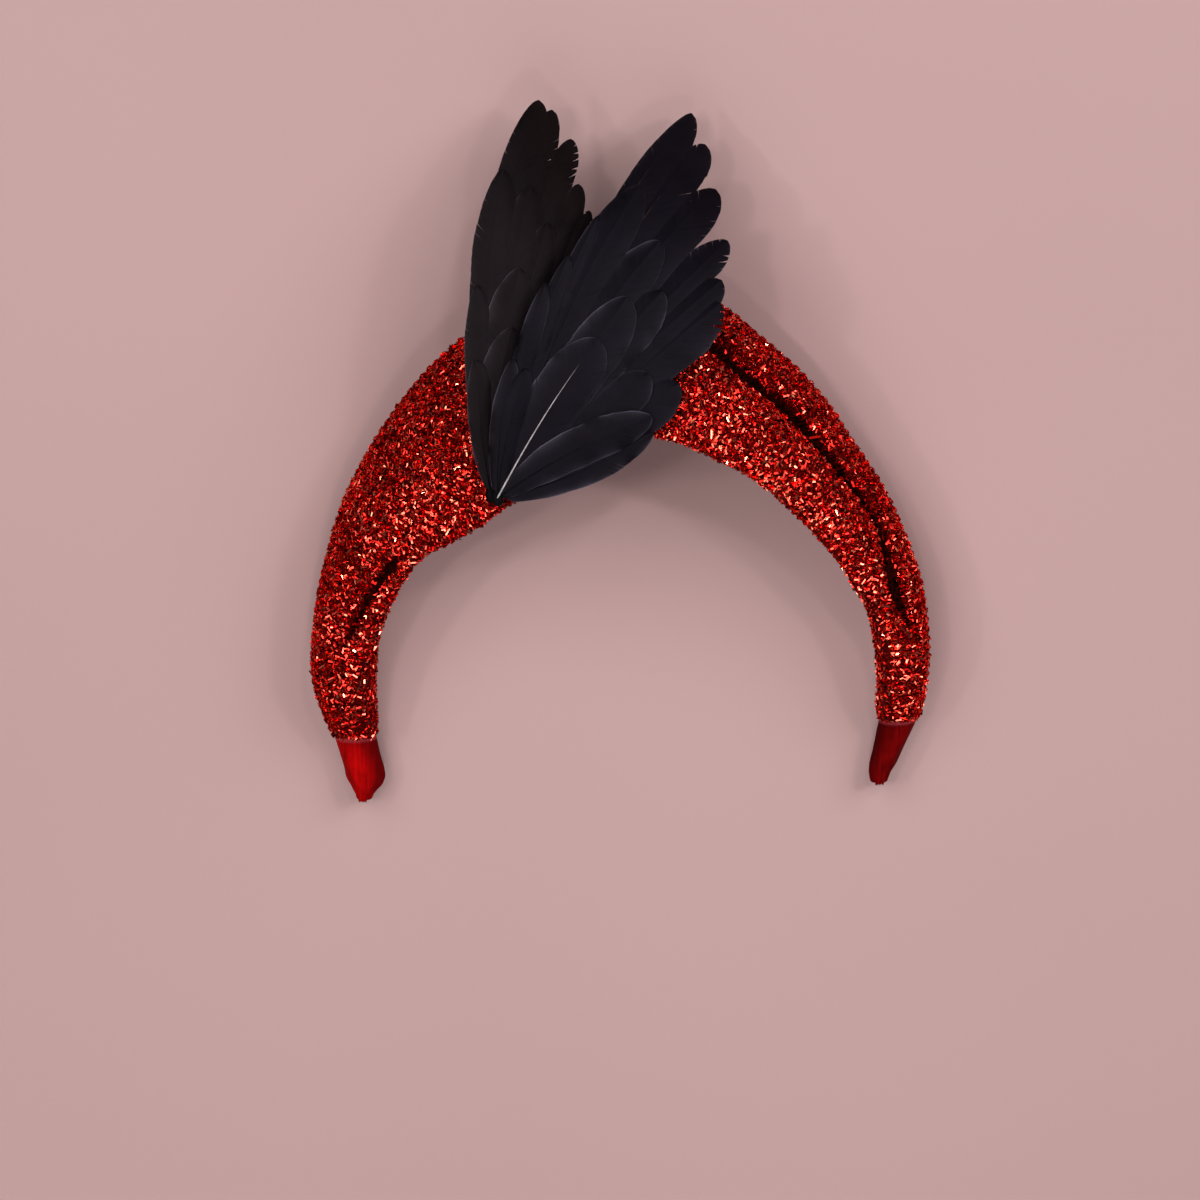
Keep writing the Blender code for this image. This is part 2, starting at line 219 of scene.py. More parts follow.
class NodeSheet:
    """A short way to write a node tree: each call adds a node and links what it is given."""

    def __init__(self, tree: bpy.types.NodeTree) -> None:
        """Work on one tree."""
        self.tree = tree

    def add(self, kind: str, inputs: dict | None = None, **settings: object) -> bpy.types.Node:
        """Add a node.

        Args:
            kind: the node's type name, without ShaderNode.
            inputs: socket name or number to a value or an output socket.
            settings: the node's own properties.

        Returns:
            The node.
        """
        node = self.tree.nodes.new(f"ShaderNode{kind}")
        for key, value in settings.items():
            setattr(node, key, value)
        self.feed(node, inputs or {})
        return node

    def feed(self, node: bpy.types.Node, inputs: dict) -> None:
        """Link or set a node's inputs.

        Args:
            node: the node.
            inputs: socket name or number to a value or an output socket.
        """
        for key, value in inputs.items():
            if isinstance(value, bpy.types.NodeSocket):
                self.tree.links.new(value, node.inputs[key])
            else:
                node.inputs[key].default_value = value

    def object_place(self) -> bpy.types.NodeSocket:
        """The Object coordinates."""
        return self.add("TexCoord").outputs["Object"]

    def attribute(self, name: str) -> bpy.types.NodeSocket:
        """A point attribute's value, by its name."""
        return self.add("Attribute", attribute_name=name).outputs["Fac"]

    def math(self, operation: str, *values: object, use_clamp: bool = False) -> bpy.types.NodeSocket:
        """A Math node's value, from numbers or sockets."""
        inputs = dict(enumerate(values))
        return self.add("Math", inputs, operation=operation, use_clamp=use_clamp).outputs[0]

    def mix(self, share: bpy.types.NodeSocket, under: object, over: tuple) -> bpy.types.NodeSocket:
        """A colour taken towards (r, g, b) over by a share from 0 to 1."""
        inputs = {"Factor": share, "A": under, "B": (*over, 1)}
        return self.add("Mix", inputs, data_type="RGBA").outputs["Result"]

    def ramp(self, value: bpy.types.NodeSocket, *stops: tuple) -> bpy.types.NodeSocket:
        """A colour ramp.

        Args:
            value: the socket that it reads.
            stops: pairs of a place and an (r, g, b) colour, in rising order.

        Returns:
            The ramp's colour.
        """
        node = self.add("ValToRGB", {0: value})
        elements = node.color_ramp.elements
        for number, (place, colour) in enumerate(stops):
            element = elements[number] if number < 2 else elements.new(place)
            element.position = place
            element.color = (*colour, 1)
        return node.outputs[0]


def new_group(name: str, inputs: dict[str, float], outputs: tuple[str, ...]) -> tuple:
    """A shader node group with float inputs and float outputs.

    Args:
        name: the group's name.
        inputs: input names and their usual values.
        outputs: output names.

    Returns:
        The group, its node sheet, its input node and its output node.
    """
    tree = bpy.data.node_groups.new(name, "ShaderNodeTree")
    tree.interface.new_socket("Vector", in_out="INPUT", socket_type="NodeSocketVector")
    for key, value in inputs.items():
        socket = tree.interface.new_socket(key, in_out="INPUT", socket_type="NodeSocketFloat")
        socket.default_value = value
    for key in outputs:
        tree.interface.new_socket(key, in_out="OUTPUT", socket_type="NodeSocketFloat")
    return tree, NodeSheet(tree), tree.nodes.new("NodeGroupInput"), tree.nodes.new("NodeGroupOutput")


def mottle_group() -> bpy.types.NodeTree:
    """Soft unevenness: noise about 0.5, finer by Scale and stronger by Amount.

    Returns:
        The group.
    """
    tree, sheet, given, result = new_group("mottle", {"Scale": 100.0, "Amount": 0.5}, ("Value",))
    noise = sheet.add(
        "TexNoise",
        {"Vector": given.outputs["Vector"], "Scale": given.outputs["Scale"], "Detail": 2.0},
    )
    offset = sheet.math("SUBTRACT", noise.outputs["Fac"], 0.5)
    scaled = sheet.math("MULTIPLY", offset, given.outputs["Amount"])
    tree.links.new(sheet.math("ADD", scaled, 0.5), result.inputs["Value"])
    return tree


def fibre_group() -> bpy.types.NodeTree:
    """Fine parallel fibres: noise stretched along the second coordinate, as a height.

    Returns:
        The group.
    """
    tree, sheet, given, result = new_group("fibres", {"Pitch": 3000.0, "Stretch": 0.05}, ("Height",))
    split = sheet.add("SeparateXYZ", {0: given.outputs["Vector"]})
    across = sheet.math("MULTIPLY", split.outputs["X"], given.outputs["Pitch"])
    run = sheet.math("MULTIPLY", split.outputs["Y"], given.outputs["Pitch"])
    along = sheet.math("MULTIPLY", run, given.outputs["Stretch"])
    place = sheet.add("CombineXYZ", {"X": across, "Y": along, "Z": split.outputs["Z"]})
    noise = sheet.add("TexNoise", {"Vector": place.outputs[0], "Scale": 1.0, "Detail": 3.0})
    tree.links.new(noise.outputs["Fac"], result.inputs["Height"])
    return tree


@dataclass(frozen=True)
class Effects:
    """The node groups that the finishes share."""

    mottle: bpy.types.NodeTree
    fibres: bpy.types.NodeTree

    @staticmethod
    def place(
        sheet: NodeSheet, tree: bpy.types.NodeTree, vector: bpy.types.NodeSocket, **inputs: float
    ) -> bpy.types.NodeSocket:
        """Put a group in a material.

        Args:
            sheet: the material's node sheet.
            tree: the group.
            vector: the coordinates that it reads.
            inputs: its other inputs, by name.

        Returns:
            The group's output.
        """
        return sheet.add("Group", {"Vector": vector, **inputs}, node_tree=tree).outputs[0]


def new_material(name: str) -> tuple[bpy.types.Material, NodeSheet, bpy.types.Node]:
    """A material with nodes.

    Args:
        name: its name.

    Returns:
        The material, its node sheet and its Principled BSDF.
    """
    material = bpy.data.materials.new(name)
    material.use_nodes = True
    return material, NodeSheet(material.node_tree), material.node_tree.nodes["Principled BSDF"]


@dataclass(frozen=True)
class TinselGround:
    """The dark knitted cloth that shows in the gaps between the flecks."""

    deep: tuple = (0.008, 0.0001, 0.0001)
    light: tuple = (0.075, 0.0006, 0.0005)
    # The colour of the painted shade deep in the crease: nearly black.
    painted_shade: tuple = (0.002, 0.0001, 0.0001)
    loop_depth: float = 0.0004
    roughness: float = 0.62
    specular: float = 0.12
    specular_tint: tuple = (1.0, 0.10, 0.07, 1)

    def material(self, effects: Effects) -> bpy.types.Material:
        """Dark red and mottled, with the loops of the knit as bump, and nearly black in the crease.

        Args:
            effects: the shared node groups.

        Returns:
            The material.
        """
        material, sheet, shader = new_material("tinsel_ground")
        tone = effects.place(sheet, effects.mottle, sheet.object_place(), Scale=900.0, Amount=1.6)
        cloth = sheet.ramp(tone, (0.25, self.deep), (0.8, self.light))
        # Painted shade: the crease value takes the cloth towards nearly black in the crease.
        inside = sheet.add("MapRange", {0: sheet.attribute("crease"), 1: 0.08, 2: 0.35}).outputs[0]
        bump = sheet.add("Bump", {"Strength": 0.6, "Distance": self.loop_depth, "Height": tone})
        sheet.feed(shader, {
            "Base Color": sheet.mix(inside, cloth, self.painted_shade),
            "Normal": bump.outputs[0],
            "Roughness": self.roughness,
            "Specular IOR Level": self.specular,
            "Specular Tint": self.specular_tint,
        })
        return material


@dataclass(frozen=True)
class TinselFleck:
    """The metallic foil of a fleck: red, brighter or darker from one fleck to the next."""

    black: tuple = (0.014, 0.0002, 0.0002)
    dark: tuple = (0.17, 0.0016, 0.0011)
    body: tuple = (0.90, 0.0270, 0.0185)
    bright: tuple = (1.00, 0.150, 0.078)
    glow: tuple = (1.00, 0.340, 0.190)
    smoothest: float = 0.07
    roughness_spread: float = 0.13
    specular_tint: tuple = (1.0, 0.26, 0.21, 1)
    coat: float = 0.8
    coat_from: float = 0.55
    coat_ior: float = 1.60
    coat_roughness: float = 0.13

    def material(self) -> bpy.types.Material:
        """Metal whose roughness differs by fleck, with a clear coat on the brighter ones.

        Returns:
            The material.
        """
        material, sheet, shader = new_material("tinsel_fleck")
        # spark is a random tone per fleck, lowered by painted shade in the knit's hollows and in the crease
        # down to the black stop; the clear coat follows it.
        spark = sheet.attribute("spark")
        colour = sheet.ramp(
            spark,
            (0.03, self.black),
            (0.18, self.dark),
            (0.50, self.body),
            (0.84, self.bright),
            (1.00, self.glow),
        )
        draw = sheet.math("FRACT", sheet.math("MULTIPLY", spark, 17.0))
        coat = sheet.add("MapRange", {0: spark, 1: self.coat_from, 2: 1.0, 3: 0.0, 4: self.coat})
        sheet.feed(shader, {
            "Base Color": colour,
            "Roughness": sheet.math("MULTIPLY_ADD", draw, self.roughness_spread, self.smoothest),
            "Metallic": 1.0,
            "Specular Tint": self.specular_tint,
            "Coat Weight": coat.outputs[0],
            "Coat IOR": self.coat_ior,
            "Coat Roughness": self.coat_roughness,
        })
        return material


@dataclass(frozen=True)
class Velvet:
    """Red velvet: a pile in streaks, darker on one side, with a pink rim where it meets the tinsel."""

    name: str = "velvet"
    deep: tuple = (0.115, 0.0004, 0.0006)
    light: tuple = (0.330, 0.0012, 0.0014)
    # shaded is the colour of the painted shade on one side.
    shaded: tuple = (0.060, 0.0004, 0.0008)
    # rim is the colour of a painted pink fold highlight where the velvet meets the tinsel.
    rim: tuple = (0.360, 0.045, 0.060)
    pile_depth: float = 0.00025
    roughness: float = 0.82
    specular: float = 0.01
    sheen: float = 0.02
    sheen_roughness: float = 0.35
    sheen_tint: tuple = (1.0, 0.25, 0.27, 1)

    def material(self, effects: Effects) -> bpy.types.Material:
        """Rough pile with brushed patches and fine fibres.

        Args:
            effects: the shared node groups.

        Returns:
            The material.
        """
        material, sheet, shader = new_material(self.name)
        place = sheet.object_place()
        brushed = effects.place(sheet, effects.mottle, place, Scale=150.0, Amount=0.9)
        streaks = effects.place(sheet, effects.fibres, place, Pitch=1300.0, Stretch=0.06)
        streaked = sheet.math("MULTIPLY_ADD", sheet.math("SUBTRACT", streaks, 0.5), 0.9, brushed)
        colour = sheet.ramp(streaked, (0.22, self.deep), (0.75, self.light))
        # Painted shade on one side, then the painted pink fold highlight next to the tinsel.
        for name, over in (("shade", self.shaded), ("fold_highlight", self.rim)):
            colour = sheet.mix(sheet.attribute(name), colour, over)
        pile = effects.place(sheet, effects.mottle, place, Scale=4200.0, Amount=1.0)
        bump = sheet.add("Bump", {"Strength": 0.5, "Distance": self.pile_depth, "Height": pile})
        sheet.feed(shader, {
            "Base Color": colour,
            "Normal": bump.outputs[0],
            "Roughness": self.roughness,
            "Specular IOR Level": self.specular,
            "Sheen Weight": self.sheen,
            "Sheen Roughness": self.sheen_roughness,
            "Sheen Tint": self.sheen_tint,
        })
        return material


@dataclass(frozen=True)
class FeatherVane:
    """A dark vane: barbs as fine lines, with a painted grey highlight along its rims."""

    name: str
    deep: tuple
    light: tuple
    # edge is the colour of the painted highlight along the vane's rims.
    edge: tuple
    barb_pitch: float = 0.00032
    camber: float = 0.00045
    barb_depth: float = 0.00010
    rim_sharpness: float = 34.0
    thin_rim_highlight: float = 0.85
    broad_rim_highlight: float = 0.24
    roughness: float = 0.50
    specular: float = 0.045
    specular_tint: tuple = (0.95, 0.84, 1.0, 1)

    def material(self, effects: Effects) -> bpy.types.Material:
        """Satin, with barbs from the vane's own map and a greyer rim from its reach value.

        The rim is a painted highlight: the sum of two powers of the reach, one thin
        and one broad, times the vane's gleam and broken into patches by the mottle.

        Args:
            effects: the shared node groups.

        Returns:
            The material.
        """
        material, sheet, shader = new_material(self.name)
        uv = sheet.add("UVMap", uv_map="surface").outputs[0]
        barbs = effects.place(sheet, effects.fibres, uv, Pitch=1 / self.barb_pitch, Stretch=0.04)
        cloud = effects.place(sheet, effects.mottle, sheet.object_place(), Scale=95.0, Amount=1.2)
        tone = sheet.math("MULTIPLY_ADD", barbs, 0.65, sheet.math("MULTIPLY", cloud, 0.35))
        body = sheet.ramp(tone, (0.32, self.deep), (0.68, self.light))
        reach = sheet.attribute("reach")
        # The painted rim highlight: a thin and a broad power of the reach, times the gleam, in patches.
        patches = sheet.math("MULTIPLY_ADD", cloud, 3.2, -0.9)
        patchy = sheet.math("MULTIPLY", sheet.attribute("gleam"), patches, use_clamp=True)
        thin = sheet.math("MULTIPLY", sheet.math("POWER", reach, self.rim_sharpness), self.thin_rim_highlight)
        broad = sheet.math("MULTIPLY_ADD", sheet.math("POWER", reach, 4.0), self.broad_rim_highlight, thin)
        rim = sheet.math("MULTIPLY", broad, patchy, use_clamp=True)
        fall = sheet.math("SUBTRACT", 1.0, sheet.math("POWER", reach, 3.0))
        camber = sheet.add("Bump", {"Strength": 1.0, "Distance": self.camber, "Height": fall})
        grain = sheet.add("Bump", {
            "Strength": 0.15,
            "Distance": self.barb_depth,
            "Height": barbs,
            "Normal": camber.outputs[0],
        })
        sheet.feed(shader, {
            "Base Color": sheet.mix(rim, body, self.edge),
            "Normal": grain.outputs[0],
            "Roughness": self.roughness,
            "Specular IOR Level": self.specular,
            "Specular Tint": self.specular_tint,
        })
        return material


@dataclass(frozen=True)
class FeatherShaft:
    """The horn of a feather's shaft, which darkens to the feather's own colour at its tip."""

    kind: Shaft
    deep: tuple
    light: tuple
    tip: tuple = (0.0015, 0.0014, 0.0020)
    fades_from: float = 0.62
    fades_to: float = 0.84
    gloss: float = 0.10
    roughness: float = 0.45

    def material(self, effects: Effects) -> bpy.types.Material:
        """Smooth horn, faintly mottled.

        Args:
            effects: the shared node groups.

        Returns:
            The material.
        """
        material, sheet, shader = new_material(self.kind.value)
        tone = effects.place(sheet, effects.mottle, sheet.object_place(), Scale=500.0, Amount=1.4)
        horn = sheet.ramp(tone, (0.3, self.deep), (0.7, self.light))
        along = sheet.attribute("along")
        gone = sheet.ramp(along, (self.fades_from, (0.0, 0.0, 0.0)), (self.fades_to, (1.0, 1.0, 1.0)))
        sheet.feed(shader, {
            "Base Color": sheet.mix(gone, horn, self.tip),
            "Roughness": self.roughness,
            "Specular IOR Level": self.gloss,
        })
        return material


# One velvet in two copies: a lit one for the left end, and a darker one with painted shade for the right
# end.
BRIGHT_VELVET = Velvet()
DIM_VELVET = Velvet(
    "velvet_shaded",
    deep=(0.045, 0.0003, 0.0005),
    light=(0.120, 0.0007, 0.0010),
    shaded=(0.030, 0.0002, 0.0003),
)
# A vane's edge colour is the painted highlight along its rims.
BLUE_BLACK = FeatherVane(
    "blue_black_vane",
    deep=(0.0008, 0.0006, 0.0014),
    light=(0.0030, 0.0022, 0.0044),
    edge=(0.072, 0.064, 0.084),
)
BROWN_BLACK = FeatherVane(
    "brown_black_vane",
    deep=(0.0014, 0.0009, 0.0009),
    light=(0.0048, 0.0028, 0.0030),
    edge=(0.056, 0.048, 0.058),
)
SHAFT_FINISHES = (
    FeatherShaft(Shaft.DARK, deep=(0.0010, 0.0010, 0.0014), light=(0.003, 0.003, 0.004), gloss=0.02),
    FeatherShaft(Shaft.BROWN, deep=(0.050, 0.021, 0.009), light=(0.080, 0.034, 0.015)),
    FeatherShaft(Shaft.PALE, deep=(0.20, 0.18, 0.185), light=(0.34, 0.31, 0.32)),
)


@dataclass(frozen=True)
class BandSection:
    """One cross-section of the padded band, from the left end to the right end.

    along is a share of the band's length. width, padding, lean and pleat are
    shares of the band's own sizes, and pleat_at is the pleat's place across.
    crease_at and crease are the same for the narrow dark crease in the cloth.
    """

    along: float
    width: float
    padding: float
    lean: float
    pleat_at: float
    pleat: float
    crease_at: float
    crease: float


BAND_TABLE = (
    BandSection(0.000, 0.27, 0.46, -0.04, 0.84, 0.00, 0.840, 0.00),
    BandSection(0.057, 0.42, 0.63, -0.03, 0.84, 0.10, 0.930, 0.00),
    BandSection(0.130, 0.55, 0.70, 0.19, 0.88, 0.30, 0.955, 0.50),
    BandSection(0.180, 0.63, 0.73, 0.33, 0.91, 0.42, 0.970, 0.62),
    BandSection(0.220, 0.70, 0.78, 0.50, 0.93, 0.38, 0.975, 0.10),
    BandSection(0.260, 0.79, 0.83, 0.77, 0.93, 0.15, 0.950, 0.00),
    BandSection(0.309, 0.89, 0.88, 0.92, 0.90, 0.00, 0.900, 0.00),
    BandSection(0.367, 0.96, 0.96, 0.98, 0.85, 0.00, 0.850, 0.00),
    BandSection(0.430, 0.99, 1.00, 0.83, 0.75, 0.20, 0.750, 0.10),
    BandSection(0.500, 1.00, 1.00, 0.66, 0.68, 0.70, 0.680, 0.60),
    BandSection(0.566, 0.98, 0.99, 0.65, 0.68, 1.00, 0.680, 1.00),
    BandSection(0.620, 0.92, 0.82, 0.63, 0.69, 1.00, 0.690, 1.00),
    BandSection(0.680, 0.83, 0.70, 0.57, 0.67, 1.00, 0.670, 1.00),
    BandSection(0.740, 0.74, 0.60, 0.46, 0.65, 0.95, 0.650, 0.92),
    BandSection(0.798, 0.65, 0.60, 0.32, 0.67, 0.80, 0.670, 0.80),
    BandSection(0.843, 0.59, 0.60, 0.19, 0.82, 0.50, 0.820, 0.75),
    BandSection(0.873, 0.54, 0.58, 0.07, 0.90, 0.20, 0.900, 0.45),
    BandSection(0.943, 0.43, 0.53, -0.02, 0.84, 0.00, 0.840, 0.00),
    BandSection(1.000, 0.27, 0.43, -0.02, 0.84, 0.00, 0.840, 0.00),
)


@dataclass
class PaddedBand:
    """The arched, padded band: its surface and its cloth.

    squareness, fullness and inside_fullness are the powers of its sections'
    curves, and lean_growth is that of the front edge's lean. fine_over and
    fine_under say how finely a section is drawn before it is read evenly.
    """

    head_half_width: float = 0.0770
    arch_height: float = 0.0970
    left_leg: float = 0.0175
    right_leg: float = 0.0140
    width: float = 0.0620
    padding: float = 0.0290
    edge: float = 0.0050
    front_lean: float = 0.0265
    pleat_depth: float = 0.0085
    pleat_rear_side: float = 0.0060
    pleat_front_side: float = 0.0130
    pleat_tuck: float = 0.0030
    rest_width: float = 0.0040
    crease_width: float = 0.0017
    crease_narrowing: float = 0.66
    crease_depth: float = 0.0060
    squareness: float = 2.2
    fullness: float = 1 / 1.8
    inside_fullness: float = 0.25
    lean_growth: float = 1.5
    ripple_depth: float = 0.0035
    ripple_run: float = 0.35
    cloth_inset: float = 0.00012
    rows: int = 320
    around: int = 160
    fine_over: int = 520
    fine_under: int = 260
    place: Array = field(default_factory=lambda: np.zeros(3))
    points: Array = field(default_factory=lambda: np.zeros(0))
    normals: Array = field(default_factory=lambda: np.zeros(0))
    crease: Array = field(default_factory=lambda: np.zeros(0))
    front_share: Array = field(default_factory=lambda: np.zeros(0))

    def arch_line(self, share: Array) -> tuple[Array, Array]:
        """The inner rear line: a straight leg, half an ellipse and a straight leg.

        Args:
            share: shares of the line's length.

        Returns:
            Points and outward directions, both (n, 2).
        """
        turn = np.linspace(0, math.pi, 900)
        line = np.column_stack([-self.head_half_width * np.cos(turn), self.arch_height * np.sin(turn)])
        ends = [[-self.head_half_width, -self.left_leg], [self.head_half_width, -self.right_leg]]
        line = np.vstack([ends[:1], line, ends[1:]])
        along = np.concatenate([[0], np.cumsum(np.linalg.norm(np.diff(line, axis=0), axis=1))])
        way = unit(np.gradient(line, along, axis=0))
        at = share * along[-1]
        point = np.column_stack([np.interp(at, along, line[:, k]) for k in range(2)])
        way = np.column_stack([np.interp(at, along, way[:, k]) for k in range(2)])
        return point, np.column_stack([-way[:, 1], way[:, 0]])

    def section(self, share: Array, over: Array, under: Array) -> tuple[Array, Array, Array]:
        """The sections' outlines, as outward and upward distances from the inner rear line.

        Over the padding the outward distance is a superellipse hump. A pleat
        takes from it as two rounded rolls that meet: 1 - sqrt(1 - n^2), where n
        rises from 0 at the pleat's sides to 1 at its floor, which is tucked
        under the rear roll. A bell-shaped crease, exp(-(x / width)^2), cuts in
        at its own place across, and is narrower near the front edge. The
        front edge leans in with height to the power lean_growth.

        Args:
            share: (n,) shares along the band.
            over: (m,) shares of the width on the way over the padding.
            under: (k,) shares of the width on the way back along the inside.

        Returns:
            Outward and upward distances and how deep in the crease each point
            lies, from 0 to 1, all (n, m + k).
        """
        row = {key: value[:, None] for key, value in smooth_table(BAND_TABLE, share).items()}
        width = row["width"] * self.width
        beside = (over - row["pleat_at"]) * width
        side = np.where(beside < 0, self.pleat_rear_side, self.pleat_front_side)
        spread = side * np.maximum(row["pleat"], 0.1) ** 0.7
        near = np.clip(1 - np.abs(beside) / spread, 0, 1)
        dip = row["pleat"] * (1 - np.sqrt(1 - near**2))
        hump = (1 - np.abs(2 * over - 1) ** self.squareness) ** self.fullness
        at_edge = smoothstep(row["crease_at"], 0.88, 0.96)
        narrow = self.crease_width * (1 - self.crease_narrowing * at_edge)
        crease = row["crease"] * np.exp(-(((over - row["crease_at"]) * width / narrow) ** 2))
        outward = self.edge + (row["padding"] * self.padding - self.edge) * hump - self.pleat_depth * dip
        outward -= self.crease_depth * crease
        back = (1 - np.abs(2 * under - 1) ** self.squareness) ** self.inside_fullness
        rest = self.edge - self.rest_width
        inside = np.where(under > 0.02, self.edge * (1 - back), rest + 0 * under) + 0 * width
        outward = np.concatenate([outward, inside], axis=1)
        upward = np.concatenate([over * width - self.pleat_tuck * dip, under * width], axis=1)
        crease = np.concatenate([crease, 0 * inside], axis=1)
        leaned = outward - row["lean"] * self.front_lean * (upward / width) ** self.lean_growth
        return leaned, upward, crease

    def ripple(self, along: Array, around: Array) -> Array:
        """The slight unevenness of stretched padding: nine crossed waves, deeper the longer they are.

        Args:
            along: metres along the band.
            around: metres round its section.

        Returns:
            The rise in metres, shaped as along.
        """
        rng = np.random.default_rng(11)
        total = np.zeros(along.shape)
        for wave in rng.uniform(0.008, 0.030, 9):
            turn, phase = rng.uniform(0, math.pi), rng.uniform(0, 2 * math.pi)
            ahead = along * math.cos(turn) + around * math.sin(turn)
            total += wave * np.sin(ahead * 2 * math.pi / wave + phase)
        return total * self.ripple_depth

    def shape(self) -> None:
        """Work out the whole surface on an even grid, with its normals, in the row frame.

        Each section is drawn finely, closed, and read again at even steps of its
        own length. front_share keeps how far round the front edge lies.
        """
        share = np.linspace(0, 1, self.rows)
        over = np.linspace(0, 1, self.fine_over)
        under = np.linspace(1, 0, self.fine_under)[1:]
        closed = [np.column_stack([line, line[:, 0]]) for line in self.section(share, over, under)]
        gaps = np.hypot(np.diff(closed[0], axis=1), np.diff(closed[1], axis=1))
        length = np.column_stack([np.zeros(self.rows), np.cumsum(gaps, axis=1)])
        self.front_share = length[:, self.fine_over - 1] / length[:, -1]
        even = np.linspace(0, 1, self.around, endpoint=False)
        out, up, self.crease = (
            np.array([np.interp(even * total[-1], total, line) for total, line in zip(length, lines)])
            for lines in closed
        )
        point, way = self.arch_line(share)
        flat = point[:, None, :] + out[:, :, None] * way[:, None, :]
        points = np.concatenate([flat, up[:, :, None]], axis=2)
        low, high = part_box("padded_band")
        every = points.reshape(-1, 3)
        middle = (every.min(axis=0) + every.max(axis=0)) / 2
        self.place = np.array([(low.x + high.x) / 2 - middle[0], (low.y + high.y) / 2 - middle[1], 0.0])
        points = points + self.place
        around = even[None, :] * length[:, -1:]
        along = share[:, None] * self.ripple_run + 0 * around
        normals = self.grid_normals(points)
        rise = self.ripple(along, around) * smoothstep(points[..., 2], 0.0, 0.006)
        self.points = points + normals * rise[..., None]
        self.normals = self.grid_normals(self.points)

    @staticmethod
    def grid_normals(points: Array) -> Array:
        """Outward normals of a grid whose columns wrap: the cross product of its two slopes.

        Args:
            points: a (rows, columns, 3) grid.

        Returns:
            Directions of length 1, shaped as the grid.
        """
        across = np.roll(points, -1, axis=1) - np.roll(points, 1, axis=1)
        along = np.gradient(points, axis=0)
        return unit(np.cross(across, along))

    def cloth(self, material: bpy.types.Material) -> bpy.types.Object:
        """The closed ground cloth, drawn in a little so that the flecks stand on it.

        Args:
            material: its finish.

        Returns:
            The piece.
        """
        inner = self.points - self.normals * self.cloth_inset
        inner[..., 2] = np.maximum(inner[..., 2], 0)
        faces = tube_faces(self.rows, self.around)
        piece = build_mesh("band_cloth", inner.reshape(-1, 3), faces, {"crease": self.crease})
        finish_piece(piece, material, Slot.TINSEL, "padded_band")
        return piece

    def sample(self, row: Array, column: Array) -> tuple[Array, Array, Array, Array]:
        """Read the band's surface between the points of its grid.

        Args:
            row: places along the grid's rows, from 0 to rows - 1.
            column: places round its columns, which wrap.

        Returns:
            Points, normals and directions along the band, each (n, 3), and (n,)
            crease values, all blended from the four nearest grid points.
        """
        r = np.clip(np.floor(row).astype(int), 0, self.rows - 2)
        c = np.floor(column).astype(int) % self.around
        fr, fc = (row - r)[:, None], (column - np.floor(column))[:, None]
        d = (c + 1) % self.around

        def blend(grid: Array) -> Array:
            """The four grid values round each place, weighted by nearness.

            Args:
                grid: values on the band's grid.

            Returns:
                One value a place.
            """
            near = grid[r, c] * (1 - fc) + grid[r, d] * fc
            far = grid[r + 1, c] * (1 - fc) + grid[r + 1, d] * fc
            return near * (1 - fr) + far * fr

        along = np.gradient(self.points, axis=0)
        crease = blend(self.crease[..., None])[:, 0]
        return blend(self.points), unit(blend(self.normals)), unit(blend(along)), crease


